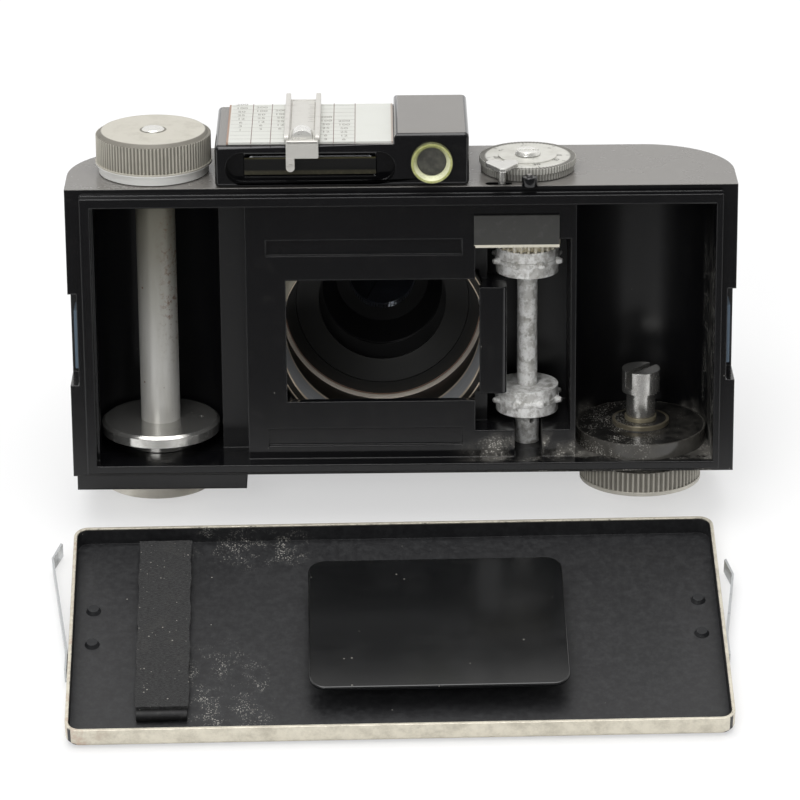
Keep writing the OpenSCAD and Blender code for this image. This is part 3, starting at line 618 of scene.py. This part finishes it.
def linked(name, data):
    """A new object in the scene."""
    made = bpy.data.objects.new(name, data)
    bpy.context.scene.collection.objects.link(made)
    return made


def worked_out(holder):
    """A new mesh of an object, with its modifiers or its text worked out."""
    bpy.context.view_layer.update()
    graph = bpy.context.evaluated_depsgraph_get()
    return bpy.data.meshes.new_from_object(holder.evaluated_get(graph))


def copied(node):
    """The shape of a CAD node, with its points merged."""
    shape = bmesh.new()
    shape.from_mesh(NODES[node].data)
    bmesh.ops.remove_doubles(shape, verts=shape.verts, dist=MERGED)
    return shape


def dressed(node, finish):
    """Gives a CAD node, whose shape stays, its finish."""
    mesh = NODES[node].data
    mesh.materials.clear()
    mesh.materials.append(finish)


def settled(name, mesh, finish, body, stands_for=(), smooth=ROUND):
    """Makes a mesh in the row frame a piece that moves with a body."""
    stored = mesh.attributes.get("custom_normal")
    if stored:
        mesh.attributes.remove(stored)
    mesh.materials.clear()
    mesh.polygons.foreach_set("use_smooth", [True] * len(mesh.polygons))
    mesh.set_sharp_from_angle(angle=math.radians(smooth))
    mesh.materials.append(finish)
    piece = linked(name, mesh)
    piece.modifiers.new("flat_faces", "WEIGHTED_NORMAL").keep_sharp = True
    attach(piece, body)
    if stands_for:
        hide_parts(*stands_for)
    return piece


def finished(name, shape, finish, body, stands_for=(), where=BODY, smooth=ROUND):
    """Makes a shape in millimetres of the body or the cover a piece that moves with a body."""
    shape.transform(where)
    return settled(name, meshed(name, shape), finish, body, stands_for, smooth)


def stand_in(name, node, shape, finish, smooth=ROUND):
    """Makes a changed copy of a CAD node the piece that stands for it."""
    body = NODES[node]["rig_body"]
    return settled(name, meshed(name, shape), finish, body, (node,), smooth)


def bevelled(shape, edges, width, segments=2, clamp=False):
    """Breaks some edges of a shape."""
    bmesh.ops.bevel(shape, geom=edges, offset=width, offset_type="OFFSET", affect="EDGES",
                    segments=segments, profile=0.5, material=-1, clamp_overlap=clamp)


def softened(name, node, finish, width, segments=2, least=0.0):
    """A copy of a CAD node with its corners broken, or only those longer than the least length."""
    shape = copied(node)
    bmesh.ops.dissolve_limit(shape, angle_limit=math.radians(1.0), verts=shape.verts, edges=shape.edges)
    corners = [e for e in shape.edges if e.is_manifold and e.calc_face_angle() > math.radians(CORNER)
               and e.calc_length() > least * MM]
    bevelled(shape, corners, width * MM, segments, not least)
    return stand_in(name, node, shape, finish, BROKEN_ROUND)


def about(middle, change):
    """A change made with a point of the body or the cover held still."""
    pivot = Matrix.Translation(middle)
    return pivot @ change @ pivot.inverted()


def altered(name, node, finish, change, where=BODY):
    """A copy of a CAD node, turned or scaled."""
    shape = copied(node)
    bmesh.ops.transform(shape, matrix=where @ change @ where.inverted(), verts=shape.verts)
    return stand_in(name, node, shape, finish)


def loose(name, shape):
    """A shape in millimetres of the body as an object that is no piece yet."""
    shape.transform(BODY)
    return linked(name, meshed(name, shape))


def carved(name, source, cutters):
    """The mesh of an object with others cut out of it; all of them are used up."""
    for cutter in cutters:
        cut = source.modifiers.new("cut", "BOOLEAN")
        cut.object = cutter
        cut.operation = "DIFFERENCE"
        cut.solver = "EXACT"
    mesh = worked_out(source)
    mesh.name = name
    for made in (source, *cutters):
        bpy.data.objects.remove(made)
    return mesh


def lens_round(profile, steps=128):
    """A closed outline of radius and depth spun round the lens axis."""
    shape = bmesh.new()
    verts = [shape.verts.new((GATE[0] + radius, depth, GATE[1])) for radius, depth in profile]
    edges = [shape.edges.new((verts[i - 1], verts[i])) for i in range(len(verts))]
    bmesh.ops.spin(shape, geom=verts + edges, cent=(GATE[0], 0.0, GATE[1]), axis=(0.0, 1.0, 0.0),
                   dvec=(0.0, 0.0, 0.0), angle=math.tau, steps=steps, use_merge=True)
    bmesh.ops.recalc_face_normals(shape, faces=shape.faces)
    return shape


def clipped(shape, place, way):
    """Cuts a closed shape off at a plane and closes it again."""
    whole = shape.verts[:] + shape.edges[:] + shape.faces[:]
    cut = bmesh.ops.bisect_plane(shape, geom=whole, dist=1e-5, plane_co=place, plane_no=way,
                                 clear_outer=True)["geom_cut"]
    rim = [part for part in cut if isinstance(part, bmesh.types.BMEdge)]
    bmesh.ops.triangle_fill(shape, use_beauty=True, use_dissolve=False, edges=rim)
    bmesh.ops.recalc_face_normals(shape, faces=shape.faces)
    return shape


def block(shape, low, high, bevel=0.0, segments=2):
    """Adds a box between two corners to a shape, its edges broken by the bevel."""
    low = Vector(low)
    high = Vector(high)
    verts = bmesh.ops.create_cube(shape, size=1.0)["verts"]
    bmesh.ops.scale(shape, vec=high - low, verts=verts)
    bmesh.ops.translate(shape, vec=(high + low) / 2, verts=verts)
    if bevel:
        edges = list(dict.fromkeys(e for v in verts for e in v.link_edges))
        bevelled(shape, edges, bevel, segments)


def bar(shape, middle, radius, length, axis, segments):
    """Adds a round bar along x or y of the body to a shape."""
    about_axis = {"x": "Y", "y": "X"}[axis]
    place = Matrix.Translation(middle) @ Matrix.Rotation(math.pi / 2, 4, about_axis)
    bmesh.ops.create_cone(shape, cap_ends=True, cap_tris=False, segments=segments, radius1=radius,
                          radius2=radius, depth=length, matrix=place)


def stroke(shape, middle, wide, long):
    """Adds a thin flat mark across (x) and along (y) to a shape."""
    made = bmesh.ops.create_grid(shape, x_segments=1, y_segments=1, size=0.5)["verts"]
    bmesh.ops.scale(shape, vec=(wide, long, 1.0), verts=made)
    bmesh.ops.translate(shape, vec=middle, verts=made)
    return made


def words(texts, height, name):
    """Flat figures as one shape; each text has its words, its middle and its turn about Z."""
    shape = bmesh.new()
    for text, middle, turn in texts:
        curve = bpy.data.curves.new(name, "FONT")
        curve.body = text
        curve.size = height
        curve.align_x = "CENTER"
        curve.align_y = "CENTER"
        curve.resolution_u = 3
        holder = linked(name, curve)
        flat = worked_out(holder)
        flat.transform(Matrix.Translation(middle) @ Matrix.Rotation(turn, 4, "Z"))
        shape.from_mesh(flat)
        bpy.data.objects.remove(holder)
        bpy.data.curves.remove(curve)
        bpy.data.meshes.remove(flat)
    return shape


# Floor, light and camera

def pale_paper(colour, white):
    """Paper that the camera sees as plain white by some share."""
    paper = Finish("paper", Base_Color=colour, Roughness=0.9, Specular_IOR_Level=0.1)
    sheet = Term(paper, paper.shader.outputs[0])
    glow = paper.node("ShaderNodeEmission", {})
    sight = paper.node("ShaderNodeLightPath", {}, out="Is Camera Ray")
    shown = paper.node("ShaderNodeMixShader", {}, sight * white, sheet, glow)
    paper.put(paper.tree.nodes["Material Output"].inputs[0], shown)
    return paper.material


def soft_lamp(name, wide, deep, power, place, aim):
    """A rectangular lamp, in metres, turned toward a point."""
    lamp = bpy.data.lights.new(name, "AREA")
    lamp.shape = "RECTANGLE"
    lamp.size = wide
    lamp.size_y = deep
    lamp.energy = power
    holder = linked(name, lamp)
    holder.location = place
    holder.rotation_euler = (Vector(aim) - holder.location).to_track_quat("-Z", "Y").to_euler()


def soft_room(sky):
    """A world of even light, white to the camera, and a room dark behind the viewer to what mirrors it."""
    world = bpy.data.worlds.new("soft_room")
    room = Tree(world)
    room.tree.nodes.clear()
    seen, glossy, through = (room.node("ShaderNodeLightPath", {}, out=f"Is {ray} Ray")
                             for ray in ("Camera", "Glossy", "Transmission"))
    way = room.node("ShaderNodeTexCoord", {}, out="Generated")
    ahead = room.node("ShaderNodeSeparateXYZ", {}, way, out="Y").step(-0.55, 0.35, 0.12, 1.0)
    even = room.node("ShaderNodeBackground", {}, (0.8, 0.8, 0.8), sky)
    walls = room.node("ShaderNodeBackground", {}, (1.0, 0.99, 0.975), ahead)
    white = room.node("ShaderNodeBackground", {}, (1.0, 1.0, 1.0), 1.0)
    lit = room.node("ShaderNodeMixShader", {}, larger(glossy, through), even, walls)
    shown = room.node("ShaderNodeMixShader", {}, seen, lit, white)
    room.put(room.tree.nodes.new("ShaderNodeOutputWorld").inputs[0], shown)
    return world


def photo_camera(sizes):
    """The camera that took the photograph."""
    eye = bpy.data.cameras.new("camera")
    eye.lens = sizes.lens
    eye.sensor_width = 36.0
    eye.clip_start = 0.01
    ahead = Vector(sizes.camera_ahead).normalized()
    up = Vector(sizes.camera_up).normalized()
    turn = Matrix((ahead.cross(up), up, -ahead)).transposed().to_4x4()
    holder = linked("camera", eye)
    holder.matrix_world = Matrix.Translation(sizes.camera_place) @ turn
    return holder


# Sizes and colours that a user would change

class StageSizes(bpy.types.PropertyGroup):
    camera_place: bpy.props.FloatVectorProperty(
        name="Camera place", description="Where the photograph was taken from", size=3,
        subtype="TRANSLATION", unit="LENGTH", default=(-0.00245, -0.64307, 0.54887))
    camera_ahead: bpy.props.FloatVectorProperty(
        name="Camera direction", description="Direction in which the camera looks", size=3,
        subtype="DIRECTION", default=(0.004665, 0.776563, -0.630022))
    camera_up: bpy.props.FloatVectorProperty(
        name="Camera up", description="Direction that is up in the picture", size=3,
        subtype="DIRECTION", default=(0.009435, 0.629967, 0.776565))
    lens: bpy.props.FloatProperty(
        name="Lens", description="Focal length on a 36 mm sensor, in millimetres", default=199.75, min=20.0)
    floor_colour: bpy.props.FloatVectorProperty(
        name="Floor colour", description="Pale paper of floor and backdrop", size=3, subtype="COLOR",
        default=(0.93, 0.93, 0.93))
    paper_white: bpy.props.FloatProperty(
        name="Paper white", description="How far the paper shows as white whatever falls on it",
        default=0.5, min=0.0, max=1.0)
    lamp_power: bpy.props.FloatProperty(
        name="Lamp power", description="Power of the large soft lamp overhead", unit="POWER", default=6.0)
    sky: bpy.props.FloatProperty(
        name="Sky", description="Strength of the even light from all round", default=0.75, min=0.0)


class CameraSizes(bpy.types.PropertyGroup):
    housing_edge: bpy.props.FloatProperty(
        name="Housing edge", description="Rounding of the housing's corners, in millimetres", default=0.9)
    figure_height: bpy.props.FloatProperty(
        name="Figure height", description="Height of the calculator's figures, in millimetres", default=1.5)
    felt_nap: bpy.props.FloatProperty(
        name="Felt nap", description="Unevenness of the felt, in millimetres", default=0.1)


class Stage(bpy.types.Operator):
    """Pale floor, soft light and the photograph's camera"""
    bl_idname = "film_camera.stage"
    bl_label = "Stage"

    def execute(self, context):
        sizes = context.scene.stage_sizes
        scene = context.scene
        shape = bmesh.new()
        bmesh.ops.create_grid(shape, x_segments=1, y_segments=1, size=1.0)
        bmesh.ops.scale(shape, vec=(1.6, 1.1, 1.0), verts=shape.verts)
        bmesh.ops.translate(shape, vec=(0.0, 0.75, -0.00005), verts=shape.verts)
        floor = linked("floor", meshed("floor", shape))
        floor.data.materials.append(pale_paper(sizes.floor_colour, sizes.paper_white))
        soft_lamp("overhead", 0.9, 0.7, sizes.lamp_power, (-0.05, 0.05, 0.95), (0.0, 0.0, 0.02))
        soft_lamp("fill", 0.5, 0.3, sizes.lamp_power * 0.35, (-0.35, -0.75, 0.75), (0.0, 0.0, 0.03))
        scene.world = soft_room(sizes.sky)
        scene.view_settings.view_transform = "Standard"
        scene.camera = photo_camera(sizes)
        return {"FINISHED"}


class Body(bpy.types.Operator):
    """Moulded body and housing with their corners broken"""
    bl_idname = "film_camera.body"
    bl_label = "Body"

    def execute(self, context):
        shell = linked("shell", meshed("shell", copied("body_shell")))
        core = 0.5
        rooms = []
        for radius, near, far in ROOMS:
            room = lens_round(((core, near), (radius, near), (radius, far), (core, far)))
            rooms.append(loose("room", clipped(room, (ROOM_END, 0.0, 0.0), (1.0, 0.0, 0.0))))
        settled("body", carved("body", shell, rooms), moulded_resin("body_resin"), "camera",
                ("body_shell",))
        tops = ((METER_TOP, PLATE_END), (FINDER_TOP, BEYOND))
        housing = moulded_resin("housing_resin", tops, 0.4, 0.1, 0.15)
        edge = context.scene.camera_sizes.housing_edge
        softened("housing", "finder_housing", housing, edge, 4, least=2.2)
        boss = moulded_resin("boss_resin", ((BOSS_TOP, BEYOND),), 0.3)
        softened("index_boss", "counter_index", boss, 0.3)
        dressed("gear_cover", dark_sheet())
        return {"FINISHED"}


class Knobs(bpy.types.Operator):
    """Winding and rewind knobs, spool, fork and tripod plate"""
    bl_idname = "film_camera.knobs"
    bl_label = "Knobs and shafts"

    def execute(self, context):
        spool = SPOOL[:2]
        knob = turned_metal("winding_metal", spool, "C6C2B6", 0.34, 10.7, shine=0.3, lip=KNOB_LIP)
        dressed("winding_knob", knob)
        softened("rivet", "knob_rivet", bright_metal(tint="E4E3DE"), 0.12)
        dressed("rewind_knob", turned_metal("rewind_metal", REWIND, "CFCBC0", 0.36, 11.4, shine=0.25))
        quarter = about(SPOOL, Matrix.Rotation(math.pi / 2, 4, "Z"))
        altered("shaft", "spool_shaft", rusty_steel(), quarter)
        dressed("spool_flange", turned_metal("flange_metal", spool, "D5D4D0", 0.1, shine=0.9))
        fork = turned_metal("fork_metal", REWIND, "D2D1CE", 0.14, shine=0.92)
        as_seen = about((*REWIND, 0.0), Matrix.Rotation(math.radians(FORK_TURN), 4, "Z"))
        altered("fork", "rewind_fork", fork, as_seen)
        dressed("rewind_sleeve", turned_metal("sleeve_metal", REWIND, "A59C84", 0.3))
        dressed("rewind_bush", dark_floor())
        tripod_middle = (SPOOL[0] - 0.5, SPOOL[1])
        dressed("tripod_plate", turned_metal("tripod_metal", tripod_middle, "CFCBC1", 0.3))
        dressed("spool_bush", bush_brass())
        dressed("catch_plates", dark_sheet("blued_catch", "5B6B7A", "5B6B7A"))
        return {"FINISHED"}


class Transport(bpy.types.Operator):
    """Sprockets, shaft and counter gear"""
    bl_idname = "film_camera.transport"
    bl_label = "Film transport"

    def execute(self, context):
        bloom = corroded_alloy()
        dressed("upper_sprocket", bloom)
        dressed("lower_sprocket", bloom)
        thinner = about((*WHEELS, 0.0), Matrix.Diagonal((SHAFT_WIDTH, SHAFT_WIDTH, 1.0, 1.0)))
        altered("wheel_shaft", "sprocket_shaft", corroded_alloy("powdery_shaft", 0.6), thinner)
        dressed("counter_gear", gear_brass())
        return {"FINISHED"}


class Counter(bpy.types.Operator):
    """Counter dial with its graduations, its catch disc, screw and film catch"""
    bl_idname = "film_camera.counter"
    bl_label = "Counter"

    def execute(self, context):
        dressed("counter_dial", turned_metal("dial_metal", WHEELS, "D2D1CA", 0.36, 9.0, shine=0.4))
        dressed("catch_disc", turned_metal("disc_metal", WHEELS, "B4B3AD", 0.36, 8.7, shine=0.4))
        softened("screw", "dial_screw", bright_metal("screw_metal", "E2E1DC", 0.2, 0.6), 0.15)
        softened("catch", "film_catch", bright_metal("catch_metal", "DAD9D5", 0.14, 0.8), 0.25, 3)
        marks = plain_marks("dial_marks", "2E2C2A", "5E5B55")
        frames = 38
        lines = 2 * frames
        line_ends = 8.8
        figure_ring = 5.9
        dial = Matrix.Translation((*WHEELS, DIAL_TOP + 0.02))
        shape = bmesh.new()
        for number in range(lines):
            turn = Matrix.Rotation(math.tau * number / lines, 4, "Z")
            long = 1.7 if number % 10 == 0 else 1.0
            made = stroke(shape, (line_ends - long / 2, 0.0, 0.0), long, 0.13)
            bmesh.ops.transform(shape, matrix=dial @ turn, verts=made)
        finished("graduations", shape, marks, "counter")
        figures = []
        for number in range(0, frames, 5):
            angle = math.tau * number / frames
            middle = dial @ Vector((figure_ring * math.cos(angle), figure_ring * math.sin(angle), 0.0))
            figures.append((str(number), middle, angle + math.pi / 2))
        finished("frame_figures", words(figures, 1.5, "frame_figures"), marks, "counter")
        return {"FINISHED"}


class Calculator(bpy.types.Operator):
    """Plate of the exposure calculator, its figures and its slider"""
    bl_idname = "film_camera.calculator"
    bl_label = "Exposure calculator"

    def execute(self, context):
        dressed("calculator_plate", printed_plate())
        dressed("meter_wedge", olive_wedge())
        self.slider()
        level = PLATE_TOP + 0.015
        row_gap = 2.35
        plate_near = 2.0
        left_near = 10.5
        slider_left = -20.0
        shape = bmesh.new()
        for x in (-27.5, -23.95, -20.2, -16.3, -12.36, -8.41):
            stroke(shape, (x, 14.4, level), 0.13, 25.6)
        rules = plain_marks("rule_ink", "6A4F4A", "8B7570")
        finished("plate_rules", shape, rules, "camera")
        shape = bmesh.new()
        for row in range(11):
            stroke(shape, (-19.95, 26.0 - row_gap * row, level + 0.005), 23.0, 0.1)
        lines = plain_marks("line_ink", "85827B", "B4B1A9")
        finished("plate_lines", shape, lines, "camera")
        series = ("200", "100", "50", "25", "12", "6", "3", "1")
        # Each column's middle and its first row; those left of the slider end further from the viewer
        columns = ((-29.65, 27.0), (-25.9, 25.0), (-22.3, 22.9), (-13.8, 18.3), (-10.45, 15.7))
        figures = []
        for x, first in columns:
            near = left_near if x < slider_left else plate_near
            for row, text in enumerate(series):
                y = first - row_gap * row
                if y > near:
                    figures.append((text, Vector((x, y, level)), 0.0))
        shape = words(figures, context.scene.camera_sizes.figure_height, "plate_figures")
        ink = plain_marks("figure_ink", "6C6862", "B9B5AC")
        finished("plate_figures", shape, ink, "camera")
        return {"FINISHED"}

    def slider(self):
        """Strip between two rails, bent down at both ends, with a thumb rest and a pointer."""
        left, right, near, far = -21.4, -14.8, 1.1, 28.7
        rail, sheet, apron, pointer = 0.95, 0.4, 2.9, 4.6
        floor = PLATE_TOP + 0.1
        face = floor + sheet + 0.01
        middle = (left + right) / 2
        metal = bright_metal("slider_metal", "D0CEC8", 0.3, 0.4)
        shape = bmesh.new()
        block(shape, (left + 0.5, near, floor), (right - 0.5, far - 1.2, floor + sheet))
        for x in (left, right - rail):
            block(shape, (x, near + 1.1, floor), (x + rail, far + 0.7, floor + 1.42), 0.16)
            bar(shape, (x + 0.47, near + 1.0, floor + 0.8), 0.5, 0.8, "x", 16)
        block(shape, (left + 0.3, near, floor - apron), (right - 0.3, near + 0.8, floor + 0.55), 0.22, 3)
        block(shape, (left + 0.3, far - 0.8, floor - apron), (right - 0.3, far, floor + sheet), 0.1)
        low = (left + 0.3, near + 0.02, floor - pointer)
        block(shape, low, (left + 1.9, near + 0.78, floor - 2.6), 0.1)
        bar(shape, (left + 1.1, near + 0.4, floor - pointer), 0.8, 0.76, "y", 24)
        finished("slider", shape, metal, "calculator", ("meter_slider",))
        rest = bmesh.new()
        bar(rest, (middle, near + 3.2, floor + 0.15), 2.05, 3.6, "y", 40)
        ends = [e for e in rest.edges if len(e.link_faces) == 2 and e.calc_face_angle() > 1.0]
        bevelled(rest, ends, 0.18)
        clipped(rest, (0.0, 0.0, floor + 0.15), (0.0, 0.0, -1.0))
        finished("thumb_rest", rest, bright_metal("rest_metal", "DEDDD9", 0.22, 0.45), "calculator")
        ticks = bmesh.new()
        for row in range(9):
            stroke(ticks, (middle + 1.6, 14.0 + 1.35 * row, face), 0.8 if row % 2 else 1.3, 0.12)
        for x in (left + 1.15, right - 1.15):
            stroke(ticks, (x, 17.5, face), 0.1, 18.0)
        finished("slider_ticks", ticks, plain_marks("tick_ink", "857F78", "A9A59C"), "calculator")


class Finder(bpy.types.Operator):
    """Glasses and eyepiece of the finder"""
    bl_idname = "film_camera.finder"
    bl_label = "Finder"

    def execute(self, context):
        dressed("finder_front_glass", clear_glass())
        dressed("eyepiece_ring", yellowed_ring())
        dressed("eyepiece_glass", aged_glass())
        return {"FINISHED"}


class Lens(bpy.types.Operator):
    """Lens barrel, shutter, rings, levers and glasses"""
    bl_idname = "film_camera.lens"
    bl_label = "Lens"

    def execute(self, context):
        enamel = black_enamel()
        for node in ("lens_flange", "shutter_case", "shutter_face", "focus_ring"):
            dressed(node, enamel)
        dressed("rear_baffle", black_enamel("baffle_black", 0.35))
        dressed("shutter_leaves", dark_sheet("leaf_steel", "3A3B3D", "3A3B3D"))
        tube = tube_inside()
        seat = clipped(lens_round(SEAT), (SEAT_END, 0.0, 0.0), (1.0, 0.0, 0.0))
        finished("tube_seat", seat, tube, "camera")
        finished("barrel", lens_round(BARREL), tube, "camera", ("lens_barrel",))
        finished("tube_mask", lens_round(MASK), tube, "camera")
        finished("leaf_backing", lens_round(BACKING, 64), enamel, "lens_unit")
        nickel = bright_metal("lens_nickel")
        for node in ("flange_screws", "aperture_lever", "release_lever", "cable_socket", "glass_retainer"):
            dressed(node, nickel)
        dressed("speed_ring", turned_metal("speed_metal", GATE, "C6C5BF", 0.3, axis="y"))
        coated = clear_glass("lens_glass", "DDE3F0")
        dressed("front_glass", coated)
        dressed("rear_glass", coated)
        return {"FINISHED"}


class Cover(bpy.types.Operator):
    """Cover with its plate, felt, rivets and latches"""
    bl_idname = "film_camera.cover"
    bl_label = "Cover"

    def execute(self, context):
        softened("tray", "cover_tray", cover_paint(half_wide=59.55, half_long=27.35, height=4.3), 0.16)
        plate = softened("film_plate", "pressure_plate", plate_lacquer(), 0.32, 3)
        grow = about((7.6, -3.6, 0.0), Matrix.Diagonal((*PLATE_GROWTH, 1.0, 1.0)))
        shift = Matrix.Translation((-0.27, 1.5, 0.0))
        plate.data.transform(COVER @ shift @ grow @ COVER.inverted())
        dressed("cover_rivets", dark_sheet("painted_rivet", "232426", "232426"))
        lower = about((0.0, 0.0, 0.65), Matrix.Diagonal((1.0, 1.0, LEAF_HEIGHT, 1.0)))
        altered("leaf_spring", "plate_spring", spring_steel(), lower, COVER)
        narrower = about((-64.4, 0.0, 0.0), Matrix.Diagonal((LATCH_WIDTH, 1.0, 1.0, 1.0)))
        altered("left_latch", "latch_spring_left", spring_steel("left_latch_steel", 0.2), narrower, COVER)
        dressed("latch_spring_right", spring_steel("right_latch_steel", 0.28))
        dressed("felt_leaf", dark_sheet("leaf_black", "1C1C1D", "1C1C1D"))
        self.felt(context.scene.camera_sizes.felt_nap)
        return {"FINISHED"}

    def felt(self, nap):
        """Strip of felt, uneven on its face and along its sides."""
        low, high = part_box("felt_strip")
        middle = COVER.inverted() @ ((low + high) / 2)
        size = Vector((9.6, 45.6, 0.85))
        shape = bmesh.new()
        bmesh.ops.create_cube(shape, size=1.0)
        bmesh.ops.scale(shape, vec=size, verts=shape.verts)
        for axis, cuts in ((1, 60), (0, 14)):
            edges = [e for e in shape.edges if abs((e.verts[0].co - e.verts[1].co)[axis]) > 1]
            bmesh.ops.subdivide_edges(shape, edges=edges, cuts=cuts, use_grid_fill=True)
        for vert in shape.verts:
            x, y, z = vert.co
            ridge = math.sin(y * 1.9 + math.sin(x)) * math.sin(x * 2.3 + y * 0.7)
            side = math.sin(y * 0.61) + 0.6 * math.sin(y * 1.7)
            if z > 0:
                vert.co.z += nap * 0.5 * ridge
            vert.co.x += nap * side * x / (size.x / 2)
        bmesh.ops.translate(shape, vec=middle, verts=shape.verts)
        felt = finished("felt", shape, felt_cloth(), "cover", ("felt_strip",), COVER, FELT_ROUND)


class FilmCameraPanel(bpy.types.Panel):
    """Lists the pieces and the sizes that can be changed"""
    bl_idname = "VIEW3D_PT_film_camera"
    bl_label = "Film camera"
    bl_space_type = "VIEW_3D"
    bl_region_type = "UI"
    bl_category = "Film camera"

    def draw(self, context):
        for group in (context.scene.stage_sizes, context.scene.camera_sizes):
            for key in group.__annotations__:
                self.layout.prop(group, key)
        for operator in OPERATORS:
            self.layout.operator(operator.bl_idname)


OPERATORS = (Stage, Body, Knobs, Transport, Counter, Calculator, Finder, Lens, Cover)
GROUPS = (StageSizes, CameraSizes)


def register():
    for group in GROUPS:
        bpy.utils.register_class(group)
    bpy.types.Scene.stage_sizes = bpy.props.PointerProperty(type=StageSizes)
    bpy.types.Scene.camera_sizes = bpy.props.PointerProperty(type=CameraSizes)
    for operator in OPERATORS:
        bpy.utils.register_class(operator)
    bpy.utils.register_class(FilmCameraPanel)


def unregister():
    bpy.utils.unregister_class(FilmCameraPanel)
    for operator in reversed(OPERATORS):
        bpy.utils.unregister_class(operator)
    del bpy.types.Scene.camera_sizes
    del bpy.types.Scene.stage_sizes
    for group in reversed(GROUPS):
        bpy.utils.unregister_class(group)


def main():
    register()
    bpy.ops.film_camera.stage()
    bpy.ops.film_camera.body()
    bpy.ops.film_camera.knobs()
    bpy.ops.film_camera.transport()
    bpy.ops.film_camera.counter()
    bpy.ops.film_camera.calculator()
    bpy.ops.film_camera.finder()
    bpy.ops.film_camera.lens()
    bpy.ops.film_camera.cover()


if __name__ == "__main__":
    main()
